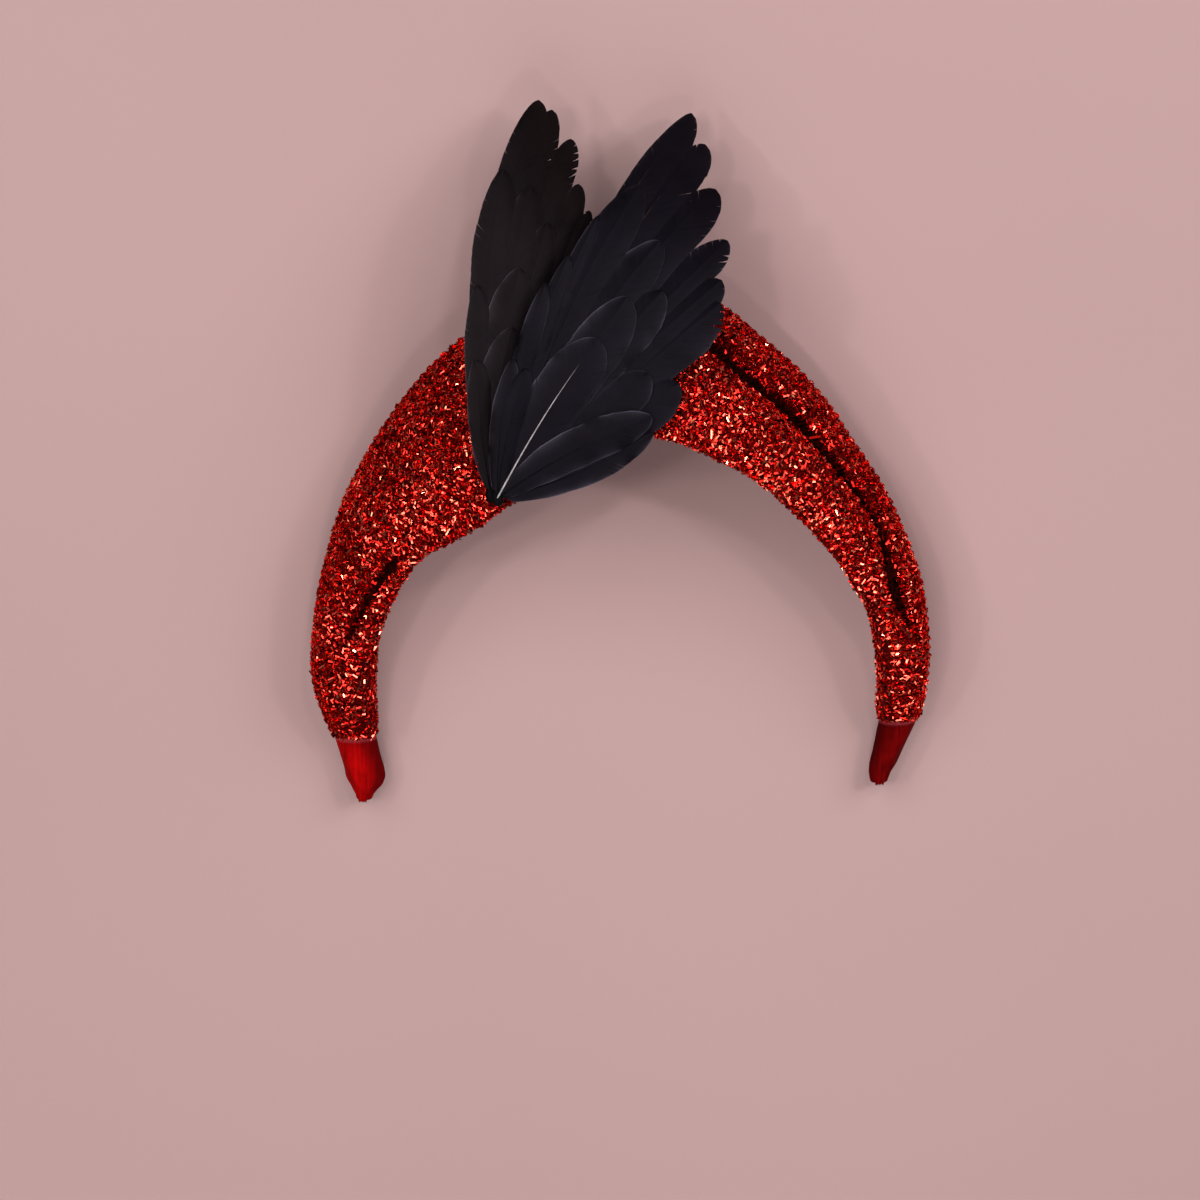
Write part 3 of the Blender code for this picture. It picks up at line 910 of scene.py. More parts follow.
@dataclass
class TinselFlecks:
    """The foil flecks of the tinsel knit, each a small tilted facet over a sunk point.

    leg_angle and the spreads of angle, pitch and roll are in degrees, and
    length_spread and breadth_spread are spreads of the sizes' logarithms.
    """

    band: PaddedBand
    count: int = 140000
    length: float = 0.00106
    length_spread: float = 0.28
    breadth: float = 0.00038
    breadth_spread: float = 0.25
    narrowest: float = 0.45
    stand: float = 0.00020
    root: float = 0.00055
    large_share: float = 0.03
    large_scale: float = 1.6
    leg_angle: float = 50.0
    angle_spread: float = 30.0
    pitch_spread: float = 15.0
    roll_spread: float = 24.0
    inside_density: float = 0.50
    crease_thinning: float = 0.97
    stitch_length: float = 0.0027
    stitch_width: float = 0.0021
    stitch_height: float = 0.00042
    # How much painted shade darkens the flecks in the knit's hollows.
    hollow_shade: float = 0.30
    pieces: int = 4

    def scatter(self) -> tuple[Array, Array]:
        """Even places over the surface: an even two-number sequence, spread by area.

        Flecks are thinned on the inside face, and left out of the crease.

        Returns:
            Row places and column places on the band's grid.
        """
        number = np.arange(self.count)
        first, second = ((0.5 + number * step) % 1 for step in EVEN_STEPS)
        points = self.band.points
        step = np.linalg.norm(np.diff(points, axis=0), axis=2).mean(axis=1)
        girth = np.linalg.norm(np.roll(points, -1, axis=1) - points, axis=2).sum(axis=1)
        area = np.concatenate([[0], np.cumsum(step * (girth[:-1] + girth[1:]) / 2)])
        row = np.interp(first, area / area[-1], np.arange(self.band.rows))
        column = second * self.band.around
        rng = np.random.default_rng(5)
        inside = second > np.interp(row, np.arange(self.band.rows), self.band.front_share) + 0.02
        kept = ~inside | (rng.random(self.count) < self.inside_density)
        crease = self.band.sample(row, column)[3]
        kept &= rng.random(self.count) > self.crease_thinning * smoothstep(crease, 0.12, 0.50)
        return row[kept], column[kept]

    def stitches(self, row: Array, column: Array) -> tuple[Array, Array, Array, Array]:
        """The relief of the knit: cosine ridges across the band, notched into stitches and warped.

        The warp is two sines each way, each of 0.6 mm at most.

        Args:
            row: places along the band's grid.
            column: places round it.

        Returns:
            The height from -1 to 1, its slopes along and around in shares a
            metre, and on which side of its stitch each place is, -1 or 1.
        """
        points = self.band.points
        step = np.linalg.norm(np.diff(points, axis=0), axis=2).mean()
        girth = np.linalg.norm(np.roll(points, -1, axis=1) - points, axis=2).sum(axis=1)
        along = row * step
        around = column / self.band.around * np.interp(row, np.arange(self.band.rows), girth)
        along = along + 0.0004 * np.sin(around / 0.0031) + 0.0006 * np.sin(around / 0.0083 + along / 0.011)
        around = around + 0.0003 * np.sin(along / 0.0027) + 0.0005 * np.sin(along / 0.0091)
        a = 2 * math.pi * along / self.stitch_length
        b = math.pi * around / self.stitch_width
        ridge = 0.6 + 0.4 * np.sin(b) ** 2
        height = np.cos(a) * ridge
        slope_a = -np.sin(a) * ridge * 2 * math.pi / self.stitch_length
        slope_b = np.cos(a) * 0.4 * np.sin(2 * b) * math.pi / self.stitch_width
        return height, slope_a, slope_b, np.where(b % math.pi < math.pi / 2, 1.0, -1.0)

    def facets(self) -> tuple[Array, Array]:
        """The corners of every fleck, four on top and one sunk, and its spark value.

        A fleck lies at about the leg angle to the band's direction, to one side
        or the other on the two legs of a stitch. Its normal is the relief's,
        tilted at random along and across the fleck, and one end is narrower.

        Returns:
            An (n, 5, 3) array of corners, and an (n,) array of values from 0 to 1.
        """
        row, column = self.scatter()
        point, normal, along, crease = self.band.sample(row, column)
        rng = np.random.default_rng(7)
        count = len(row)
        across = np.cross(normal, along)
        height, slope_along, slope_across, leg = self.stitches(row, column)
        relief = self.stitch_height
        point = point + normal * (relief * height)[:, None]
        normal = normal - (relief * slope_along)[:, None] * along
        normal = unit(normal - (relief * slope_across)[:, None] * across)
        angle = leg * math.radians(self.leg_angle) + rng.normal(0, math.radians(self.angle_spread), count)
        run = np.cos(angle)[:, None] * along + np.sin(angle)[:, None] * across
        beside = np.cross(normal, run)
        pitch = np.tan(np.clip(rng.normal(0, math.radians(self.pitch_spread), count), -0.7, 0.7))[:, None]
        roll = np.tan(np.clip(rng.normal(0, math.radians(self.roll_spread), count), -1.0, 1.0))[:, None]
        face = unit(normal + pitch * run + roll * beside)
        scale = np.where(rng.random(count) < self.large_share, self.large_scale, 1.0)[:, None]
        run = unit(run - face * (run * face).sum(axis=1, keepdims=True)) * self.length / 2
        run *= np.exp(rng.normal(0, self.length_spread, count))[:, None] * scale
        beside = unit(np.cross(face, run)) * self.breadth / 2
        beside *= np.exp(rng.normal(0, self.breadth_spread, count))[:, None] * scale
        narrow = beside * rng.uniform(self.narrowest, 1.0, count)[:, None]
        centre = point + normal * (self.stand * rng.uniform(-0.6, 2.2, count))[:, None]
        corners = np.stack([
            centre - run - beside,
            centre + run - narrow,
            centre + run + narrow,
            centre - run + beside,
            point - normal * self.root,
        ], axis=1)
        corners[..., 2] = np.maximum(corners[..., 2], 0)
        return corners, self.sparks(rng.random(count), height, crease)

    def sparks(self, value: Array, height: Array, crease: Array) -> Array:
        """How bright each fleck is: random, less in the knit's hollows and none deep in the crease.

        Args:
            value: a random number from 0 to 1 for each fleck.
            height: the knit's height there, from -1 to 1.
            crease: how deep in the crease it lies, from 0 to 1.

        Returns:
            Values from 0 to 1.
        """
        # Painted shade: the fleck's colour is darkened in the knit's hollows and taken to black deep in the
        # crease.
        painted_shade = 1 - self.hollow_shade * (1 - height) / 2
        return (0.06 + 0.94 * value) * painted_shade * (1 - smoothstep(crease, 0.04, 0.40))

    def build(self, material: bpy.types.Material) -> list[bpy.types.Object]:
        """The flecks as joined meshes, one for each stretch across the band, from left to right.

        Args:
            material: their finish.

        Returns:
            The pieces.
        """
        corners, spark = self.facets()
        order = np.argsort(corners[:, 4, 0], kind="stable")
        around_root = np.array([[1, 0, 4], [2, 1, 4], [3, 2, 4], [0, 3, 4]])
        made = []
        for number, part in enumerate(np.array_split(order, self.pieces)):
            start = np.arange(len(part))[:, None] * 5
            top = start + np.array([[0, 1, 2, 3]])
            sides = (start[:, :, None] + around_root).reshape(-1, 3)
            values = {"spark": np.repeat(spark[part], 5)}
            points = corners[part].reshape(-1, 3)
            piece = build_mesh(f"tinsel_flecks_{number + 1}", points, [top, sides], values, smooth=False)
            finish_piece(piece, material, Slot.TINSEL)
            made.append(piece)
        return made


@dataclass(frozen=True)
class TipSection:
    """A velvet end's section at one share along: its width, shift inwards and height, as shares."""

    along: float
    width: float
    shift: float
    height: float


LEFT_TIP_TABLE = (
    TipSection(0.00, 1.02, 0.00, 1.00),
    TipSection(0.30, 0.98, 0.075, 1.00),
    TipSection(0.58, 0.95, 0.145, 0.98),
    TipSection(0.74, 0.70, 0.155, 0.95),
    TipSection(0.83, 0.45, 0.130, 0.92),
    TipSection(0.90, 0.28, 0.118, 0.90),
    TipSection(1.00, 0.19, 0.110, 0.86),
)

RIGHT_TIP_TABLE = (
    TipSection(0.00, 0.94, 0.00, 1.00),
    TipSection(0.36, 0.78, 0.13, 1.00),
    TipSection(0.66, 0.60, 0.24, 0.97),
    TipSection(0.85, 0.36, 0.30, 0.93),
    TipSection(1.00, 0.20, 0.31, 0.88),
)


@dataclass
class VelvetTip:
    """One velvet end of the band, gathered in pleats that deepen to its cut tip.

    end is 0 for the left one and 1 for the right one. painted_shade_side is 1 where
    its right side carries the painted shade, and -1 where its left side does. cut_from
    and ragged are shares of its length, and shade and fold_highlight are the strengths of
    the painted shade and of the painted pink fold highlight, as shares of their full colour.
    """

    node: str
    table: tuple
    end: int
    length: float
    painted_shade_side: float
    band: PaddedBand
    neck: float = 0.0124
    height: float = 0.0135
    pleats: int = 6
    pleat: float = 0.00080
    second_ridge: float = 0.55
    cut_from: float = 0.965
    ragged: float = 0.030
    shade: float = 0.85
    fold_highlight: float = 0.75
    rows: int = 70
    around: int = 96

    def build(self, material: bpy.types.Material) -> bpy.types.Object:
        """The closed surface: an oval section, scaled by the table and rippled by the pleats.

        The pleats are a sum of two cosines round the section, whose depth grows
        with the share along. The last rows turn in to the ragged cut.

        Args:
            material: its finish.

        Returns:
            The piece.
        """
        share = np.linspace(0, 1, self.rows)
        shape = smooth_table(self.table, share)
        turn = np.linspace(0, 2 * math.pi, self.around, endpoint=False)[None, :]
        half = shape["width"][:, None] * self.neck / 2
        tall = shape["height"][:, None] * self.height / 2
        depth = self.pleat * (0.10 + smoothstep(share, 0.25, 1.0)[:, None] ** 1.5)
        phase = 0.5 * share[:, None]
        ridges = np.cos(self.pleats * turn + phase)
        ridges = ridges + self.second_ridge * np.cos((2 * self.pleats + 1) * turn - 2 * phase)
        to_cut = np.clip((share - self.cut_from) / (1 - self.cut_from), 0, 1)
        round_off = np.sqrt(np.clip(1 - to_cut**2, 0.05, 1))[:, None]
        outs = (half + depth * ridges) * np.cos(turn) * round_off
        ups = tall + np.minimum(tall, (tall + 0.5 * depth * ridges) * round_off) * np.sin(turn)
        low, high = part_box(self.node)
        sign = -1.0 if self.end == 0 else 1.0
        at = np.array([float(self.end)])
        (point,), (way,) = self.band.arch_line(at)
        outward = self.band.section(at, np.linspace(0, 1, 60), np.linspace(1, 0, 30)[1:])[0]
        middle = point[0] + way[0] * (outward.max() + outward.min()) / 2 + self.band.place[0]
        x = middle + sign * (outs - shape["shift"][:, None] * self.length)
        threads = np.random.default_rng(3).random(self.around)
        ragged = self.ragged * threads * smoothstep(share, 0.88, 1.0)[:, None]
        y = high.y - share[:, None] * (1 - ragged) * (high.y - low.y) + 0 * turn
        # Painted shade, rising across the end towards one side.
        offset = sign * outs / half.max() * self.painted_shade_side
        shade = self.shade * smoothstep(offset, -0.05, 0.95)
        # A painted pink fold highlight over the first rows, next to the tinsel.
        fold_highlight = self.fold_highlight * (1 - smoothstep(share, 0.02, 0.09))[:, None] + 0 * turn
        points = np.stack([x, y, np.maximum(ups, 0)], axis=2)
        faces = tube_faces(self.rows, self.around, flip=sign > 0)
        values = {"shade": shade, "fold_highlight": fold_highlight}
        piece = build_mesh(f"velvet_{self.node}", points.reshape(-1, 3), faces, values)
        finish_piece(piece, material, Slot.VELVET, self.node)
        return piece


@dataclass(frozen=True)
class Plume:
    """One feather of a wing.

    heading is in degrees from the arch's upward direction, positive to the
    right; reach is a share of the wing's length; width a share of the usual
    width; widest a share of its own reach; bow its shaft's sideways bend as a
    share of its reach, positive to the left; rise its height over the wing's
    surface in mm; shaft_at the share of its width that lies left of its shaft;
    gleam_left and gleam_right how strong the painted highlights on the rims of
    its two vanes are; lift how far its tip stands off in mm; fray how much its
    edge has split, from 0 to 1.
    """

    heading: float
    reach: float
    width: float
    widest: float
    bow: float
    rise: float
    shaft_at: float = 0.42
    gleam_left: float = 0.25
    gleam_right: float = 0.12
    lift: float = 0.1
    fray: float = 0.0
    shaft: Shaft = Shaft.DARK


RIGHT_PLUMES = (
    Plume(25.9, 1.040, 0.72, 0.76, 0.032, 0.50, 0.34, 0.22, 0.05, shaft=Shaft.BROWN),
    Plume(29.6, 0.984, 0.84, 0.80, 0.032, 0.42, 0.42, 0.10, 0.05, fray=0.10, shaft=Shaft.BROWN),
    Plume(34.7, 0.898, 0.90, 0.80, 0.030, 0.34, 0.46, 0.08, 0.05),
    Plume(41.6, 0.812, 0.70, 0.84, 0.010, 0.26, 0.50, 0.12, 0.20, fray=0.12),
    Plume(46.0, 0.730, 0.80, 0.80, 0.010, 0.22, 0.50, 0.10, 0.12, fray=0.10),
    Plume(49.2, 0.690, 0.98, 0.72, 0.000, 0.16, 0.48, 0.10, 0.20, fray=0.30),
    Plume(58.9, 0.498, 0.96, 0.68, 0.000, 0.10, 0.48, 0.10, 0.15),
    Plume(24.6, 0.808, 0.86, 0.72, 0.028, 1.02, 0.48, 0.35, 0.08),
    Plume(32.6, 0.712, 0.86, 0.72, 0.028, 0.94, 0.50, 0.80, 0.10),
    Plume(39.2, 0.615, 0.92, 0.70, 0.014, 0.88, 0.50, 0.20, 0.60),
    Plume(51.9, 0.454, 0.86, 0.70, 0.000, 0.80, 0.50, 0.45, 0.25),
    Plume(68.3, 0.392, 0.54, 0.50, -0.045, 1.10, 0.46, 0.30, 1.00),
    Plume(20.1, 0.700, 0.42, 0.70, 0.026, 1.10, 0.42, 0.65, 0.10),
    Plume(17.2, 0.585, 0.46, 0.68, 0.026, 1.42, 0.42, 0.75, 0.12),
    Plume(33.7, 0.555, 0.96, 0.68, 0.006, 1.50, 0.44, 1.00, 0.22),
    Plume(13.6, 0.508, 0.44, 0.66, 0.022, 1.66, 0.46, 0.90, 0.30),
    Plume(33.5, 0.434, 0.98, 0.68, 0.018, 2.05, 0.50, 0.65, 0.12, shaft=Shaft.PALE),
    Plume(7.6, 0.320, 0.44, 0.60, 0.030, 2.10, 0.48, 1.00, 0.60),
    Plume(13.8, 0.304, 0.52, 0.62, 0.030, 2.30, 0.50, 0.10, 0.08),
    Plume(63.5, 0.404, 0.72, 0.60, 0.034, 2.62, 0.52, 1.00, 0.60),
)

LEFT_PLUMES = (
    Plume(6.8, 0.952, 0.74, 0.74, 0.046, 0.50, 0.43, 0.18, 0.05),
    Plume(8.8, 0.936, 0.64, 0.80, 0.034, 0.42, 0.46, 0.12, 0.05, fray=0.10),
    Plume(12.4, 0.876, 0.60, 0.82, 0.024, 0.34, 0.46, 0.10, 0.05, fray=0.12),
    Plume(15.6, 0.770, 0.58, 0.80, 0.020, 0.26, 0.46, 0.30, 0.05, shaft=Shaft.BROWN),
    Plume(18.9, 0.715, 0.46, 0.80, 0.010, 0.18, 0.46, 0.10, 0.05, fray=0.60),
    Plume(2.6, 0.764, 0.72, 0.72, 0.032, 1.05, 0.46, 0.15, 0.05),
    Plume(7.7, 0.735, 0.72, 0.72, 0.024, 0.96, 0.50, 0.55, 0.05),
    Plume(12.1, 0.655, 0.66, 0.70, 0.020, 0.88, 0.48, 0.55, 0.08),
    Plume(-3.0, 0.486, 0.52, 0.64, 0.024, 1.45, 0.46, 0.60, 0.05),
    Plume(7.9, 0.532, 0.80, 0.68, 0.024, 1.50, 0.54, 0.75, 0.10),
    Plume(8.1, 0.390, 0.72, 0.66, 0.034, 2.00, 0.54, 0.80, 0.12),
    Plume(-5.5, 0.312, 0.50, 0.62, 0.020, 2.15, 0.44, 0.80, 0.05),
)


# How far a shaft's middle stands over its feather's rise, in mm.
SHAFT_HEIGHTS = {Shaft.DARK: 0.36, Shaft.BROWN: 0.42, Shaft.PALE: 0.50}

# The rows of a wing, by the rises in mm of the plumes in them, from the back.
WING_ROWS = (("back", 0.0, 0.7), ("middle", 0.7, 1.3), ("front", 1.3, 9.0))


@dataclass
class FeatherWing:
    """One wing: its curved surface, and the plumes that lie over each other on it.

    twist and lean are in degrees. crown, ridge, roll, waver, shaft_radius and
    root_lift are in mm. arch, root_reach and camber are shares of the wing's
    length, and knot_breadth, knot_half and knot_shift of the knot's. knot_under
    and knot_over are how far the knot reaches below and above the wing's root.
    """

    node: str
    plumes: tuple
    twist: float
    camber: float
    seed: int
    knot_under: float
    length: float = 0.1260
    feather_width: float = 0.0180
    quill_width: float = 0.0020
    lean: float = 15.0
    arch: float = 0.050
    knot_length: float = 0.0075
    knot_over: float = 0.00105
    knot_breadth: float = 0.24
    knot_half: float = 0.36
    knot_shift: float = 0.06
    thread_turns: float = 26.0
    thread_depth: float = 0.05
    wall: float = 0.00010
    shaft_radius: float = 0.42
    shaft_taper: float = 0.82
    shaft_rows: int = 26
    shaft_sides: int = 6
    root_lift: float = 0.60
    clumps: int = 30
    barb_steps: int = 7
    barb_sweep: float = 1.25
    shoulder: float = 0.35
    crown: float = 0.42
    ridge: float = 0.10
    roll: float = 0.10
    waver: float = 0.06
    lifts_from: float = 0.55
    frays_from: float = 0.80
    even_ends: float = 0.004
    frayed_ends: float = 0.06
    clump_ends: float = 0.007
    outline_waves: tuple = (9.0, 17.0, 31.0)
    outline_swing: float = 0.016
    root_height: float = 0.26
    root_reach: float = 0.24

    def seat(self) -> Array:
        """The wing's root in the row frame, from the rear end of the knot in the CAD node.

        Returns:
            One point.
        """
        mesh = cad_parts[self.node].data
        points = np.empty(len(mesh.vertices) * 3)
        mesh.vertices.foreach_get("co", points)
        points = points.reshape(-1, 3)
        rear = points[points[:, 1].argmin()]
        back = 0.35 * self.knot_length
        tilt = math.radians(self.lean)
        return rear + np.array([0.0, back * math.cos(tilt), -back * math.sin(tilt)])

    def surface(self, u: Array, v: Array) -> Array:
        """How far the wing stands off its plane: a bow along it, less a twist and a camber across.

        Args:
            u: metres across the wing, to the right.
            v: metres along it.

        Returns:
            Metres off the plane.
        """
        s = v / self.length
        turned = math.tan(math.radians(self.twist)) * u + self.camber * u * u / self.length
        return 4 * self.arch * self.length * (s - s * s) - turned * s * np.abs(s)

    def drawn(self, v: Array) -> Array:
        """The share of its height that a feather keeps: little at the knot, all further out."""
        kept = smoothstep(v / self.length, 0.01, self.root_reach)
        return self.root_height + (1 - self.root_height) * kept

    def tip_lift(self, plume: Plume, p: Array) -> Array:
        """How far a feather stands off towards its tip, in mm."""
        return plume.lift * smoothstep(p, self.lifts_from, 1.0)

    def in_place(self, u: Array, v: Array, n: Array) -> Array:
        """Points in the row frame, from places on the wing's plane, leaned back and set on its seat.

        Args:
            u: metres across the wing.
            v: metres along it.
            n: metres off its plane.

        Returns:
            An array shaped as u, v and n together, with three numbers a point.
        """
        tilt = math.radians(self.lean)
        seat = self.seat()
        x = seat[0] + u
        y = seat[1] + v * math.cos(tilt) + n * math.sin(tilt)
        z = seat[2] - v * math.sin(tilt) + n * math.cos(tilt)
        return np.stack([x, y, z], axis=-1)

    def half_width(self, plume: Plume, side: float, p: Array) -> Array:
        """The width of one vane: a slow sine swell to its widest, then a round tip.

        The right vane, which is the trailing one, stays wide for longer.

        Args:
            plume: the feather.
            side: -1 for the left vane, 1 for the right one.
            p: shares along the feather.

        Returns:
            Widths in metres.
        """
        widest = plume.widest + (self.shoulder * (1 - plume.widest) if side > 0 else 0)
        swell = np.sin(math.pi / 2 * np.clip(p / widest, 0, 1) ** 0.8)
        past = np.clip((p - widest) / (1 - widest), 0, 1)
        shape = np.where(p < widest, swell, (1 - past**2.1) ** 0.56)
        share = plume.shaft_at if side < 0 else 1 - plume.shaft_at
        wide = plume.width * self.feather_width
        return share * (self.quill_width * (1 - p) + (wide - self.quill_width) * shape)

    def shaft_point(self, plume: Plume, p: Array, side: Array) -> tuple[Array, Array]:
        """Where a point lies in the wing's plane. The shaft bows sideways as 4p(1 - p).

        Args:
            plume: the feather.
            p: shares along it.
            side: metres to the right of its shaft.

        Returns:
            Metres across and along the wing.
        """
        heading = math.radians(plume.heading)
        reach = plume.reach * self.length
        offset = side - plume.bow * reach * 4 * p * (1 - p)
        u = math.sin(heading) * p * reach + math.cos(heading) * offset
        v = math.cos(heading) * p * reach - math.sin(heading) * offset
        return u, v

    def vane(self, plume: Plume, side: float, rng: np.random.Generator) -> tuple[Array, Array, Array]:
        """One half of a plume's vane, as clumps of barbs that sweep forward from the shaft.

        A barb that ends at share e of the outline starts further back by the
        sweep times its own length. Inside a clump the barbs draw together
        towards their ends, more where the edge has frayed. The outline swings
        by a sum of sines, and each clump ends a little longer or shorter. A
        vane is crowned across, with a narrow ridge along its shaft.

        Args:
            plume: the feather.
            side: -1 for the left half, 1 for the right half.
            rng: a seeded generator.

        Returns:
            (clumps, 3, steps, 3) points, the share reached along each barb, and the
            map coordinates, along the shaft and along the barb, in metres.
        """
        reach = plume.reach * self.length
        edges = 1 - (1 - np.linspace(0.06, 1, self.clumps + 1)) ** 1.25
        low, high = edges[:-1, None, None], edges[1:, None, None]
        c = np.array([0.0, 0.5, 1.0])[None, :, None]
        t = np.linspace(0, 1, self.barb_steps)[None, None, :]
        each = (self.clumps, 1, 1)
        frayed = (rng.random(self.clumps)[:, None, None] < plume.fray) & (low > self.frays_from)
        split = rng.uniform(0.35, 0.7, each)
        close = np.where(frayed, split, rng.uniform(0.0, 0.05, each))
        begin = np.where(frayed, 0.70, 0.85)
        draw = close * np.clip((t - begin) / (1 - begin), 0, 1) ** 1.4
        e = low + (high - low) * (0.5 + (c - 0.5) * (1 - draw))
        half = self.half_width(plume, side, e)
        start = np.maximum(e - self.barb_sweep * half / reach, 0.35 * e)
        uneven = self.even_ends + self.frayed_ends * plume.fray
        stray = rng.normal(0, uneven, each) * (low > self.frays_from)
        phase = rng.uniform(0, 2 * math.pi, len(self.outline_waves))
        waves = sum(np.sin(wave * low + turn) for wave, turn in zip(self.outline_waves, phase))
        longer = (1 + stray) * (1 + self.outline_swing * waves) + rng.normal(0, self.clump_ends, each)
        p = start + (e - start) * t**0.85
        offset = side * half * t**1.1 * (1 + (longer - 1) * t**3)
        u, v = self.shaft_point(plume, np.minimum(p, 1.0), offset)
        wide = self.half_width(plume, side, np.full(1, plume.widest))
        q = np.abs(offset) / wide
        crown = self.crown * (1 - q**2.5) + self.ridge * np.exp(-(q / 0.08) ** 2)
        rolled = self.roll * side * q
        waver = self.waver * np.sin(9 * p + plume.heading) * q
        tip = self.tip_lift(plume, p)
        n = self.surface(u, v) + (plume.rise + crown + rolled + waver + tip) * self.drawn(v) * MM
        points = self.in_place(u, v, n)
        uv = np.stack([start * reach + 0 * t, np.abs(offset) + 0 * t], axis=-1)
        return points, t + 0 * e, uv

    def vanes(self, name: str, plumes: tuple, material: bpy.types.Material) -> bpy.types.Object:
        """The vanes of some plumes as one mesh, each clump a closed thin plate.

        A plate's narrow walls have points of their own, so that its faces are
        shaded as one smooth surface with the next clump's.

        Args:
            name: the piece's name.
            plumes: the plumes.
            material: their finish.

        Returns:
            The piece.
        """
        rng = np.random.default_rng(self.seed + len(name))
        lean = math.radians(self.lean)
        normal = np.array(Vector((0, math.sin(lean), math.cos(lean))))
        fronts, shares, maps, flips, gleams = [], [], [], [], []
        for plume in plumes:
            for side in (-1.0, 1.0):
                points, share, uv = self.vane(plume, side, rng)
                fronts.append(points)
                shares.append(share)
                maps.append(uv)
                flips.append(np.full(self.clumps, side < 0))
                gleams.append(np.full(self.clumps, plume.gleam_left if side < 0 else plume.gleam_right))
        front = np.concatenate(fronts)
        strips = len(front)
        columns = self.barb_steps
        size = 3 * columns
        rim = np.concatenate([
            np.arange(columns),
            np.arange(1, 3) * columns + columns - 1,
            2 * columns + np.arange(columns - 1)[::-1],
            np.array([columns]),
        ])
        edge = 2 * size + np.arange(len(rim))
        after = np.roll(edge, -1)
        walls = np.stack([after, edge, edge + len(rim), after + len(rim)], axis=1)
        top = grid_quads(3, columns)
        plate = np.concatenate([top, top[:, ::-1] + size, walls])
        source = np.concatenate([np.arange(size), np.arange(size), rim, rim])
        behind = np.concatenate([np.zeros(size), np.ones(size), np.zeros(len(rim)), np.ones(len(rim))])
        points = front.reshape(strips, size, 3)[:, source] - behind[:, None] * normal * self.wall
        reach = np.concatenate(shares).reshape(strips, size)[:, source]
        uv = np.concatenate(maps).reshape(strips, size, 2)[:, source]
        faces = np.arange(strips)[:, None, None] * len(source) + plate[None]
        flip = np.concatenate(flips)
        faces[flip] = faces[flip][..., ::-1]
        values = {"reach": reach, "gleam": np.repeat(np.concatenate(gleams), len(source))}
        piece = build_mesh(name, points.reshape(-1, 3), [faces.reshape(-1, 4)], values, uv.reshape(-1, 2))
        finish_piece(piece, material, Slot.FEATHER)
        return piece

    def shafts(self, name: str, plumes: tuple, material: bpy.types.Material) -> bpy.types.Object:
        """The shafts of some plumes: closed tubes of a few sides that taper to the tip.

        A pale shaft rises towards its root, by the seventh power of its share.

        Args:
            name: the piece's name.
            plumes: the plumes.
            material: their finish.

        Returns:
            The piece.
        """
        rows, sides = self.shaft_rows, self.shaft_sides
        p = np.linspace(0.0, 0.97, rows)[:, None]
        turn = np.linspace(0, 2 * math.pi, sides, endpoint=False)[None, :]
        quads, *caps = tube_faces(rows, sides, flip=True)
        points, faces, ends = [], [], []
        for number, plume in enumerate(plumes):
            radius = self.shaft_radius * MM * math.sqrt(plume.reach) * (1 - self.shaft_taper * p)
            height = SHAFT_HEIGHTS[plume.shaft]
            if plume.shaft is Shaft.PALE:
                height = height + self.root_lift * (1 - p) ** 7
            u, v = self.shaft_point(plume, p + 0 * turn, radius * np.cos(turn))
            tip = self.tip_lift(plume, p)
            across, up = self.shaft_point(plume, p, 0 * p)
            middle = self.surface(across, up) + (plume.rise + height + tip) * self.drawn(up) * MM
            points.append(self.in_place(u, v, middle + radius * np.sin(turn)).reshape(-1, 3))
            faces.append(quads + number * rows * sides)
            ends.append(np.concatenate(caps) + number * rows * sides)
        along = {"along": np.tile((p + 0 * turn).ravel(), len(plumes))}
        joined = [np.concatenate(faces), np.concatenate(ends)]
        piece = build_mesh(name, np.concatenate(points), joined, along)
        finish_piece(piece, material, Slot.FEATHER)
        return piece

    def knot(self, material: bpy.types.Material) -> bpy.types.Object:
        """The knot that binds the quills and holds them on the band, with the turns of its thread.

        It is an egg along the wing: its radius is the sine of the polar angle to
        the power 0.8, deeper below than above, times a small sine for the thread.

        Args:
            material: its finish.

        Returns:
            The piece.
        """
        rows, around = 40, 36
        polar = np.linspace(0.02, math.pi - 0.02, rows)[:, None]
        turn = np.linspace(0, 2 * math.pi, around, endpoint=False)[None, :]
        thread = 1 + self.thread_depth * np.sin(polar * self.thread_turns)
        round_off = np.sin(polar) ** 0.8
        u = self.knot_length * self.knot_breadth * round_off * np.cos(turn) * thread
        v = self.knot_length * (self.knot_shift - self.knot_half * np.cos(polar)) + 0 * turn
        thick = np.where(np.sin(turn) > 0, self.knot_over, self.knot_under)
        n = thick * round_off * np.sin(turn) * thread
        points = self.in_place(u, v, n).reshape(-1, 3)
        faces = tube_faces(rows, around, flip=True)
        piece = build_mesh(f"{self.node}_knot", points, faces, {"along": np.ones(len(points))})
        finish_piece(piece, material, Slot.FEATHER, self.node)
        return piece

    def build(self, vane: bpy.types.Material, shafts: dict[Shaft, bpy.types.Material]) -> None:
        """The whole wing: its rows of vanes from back to front, its shafts and its knot.

        Args:
            vane: the finish of its vanes.
            shafts: the finish of each kind of shaft. The knot takes the dark one.
        """
        for label, low, high in WING_ROWS:
            row = tuple(plume for plume in self.plumes if low <= plume.rise < high)
            self.vanes(f"{self.node}_{label}", row, vane)
        for kind, material in shafts.items():
            chosen = tuple(plume for plume in self.plumes if plume.shaft is kind)
            if chosen:
                self.shafts(f"{self.node}_{kind.value}", chosen, material)
        self.knot(shafts[Shaft.DARK])


# Where the small lights for the glints hang, from the centre.
GLINT_PLACES = (
    (-0.35, 0.15, 1.30),
    (0.25, 0.55, 1.20),
    (0.10, -0.35, 1.35),
    (-0.75, 0.10, 1.10),
    (0.70, 0.35, 1.10),
)


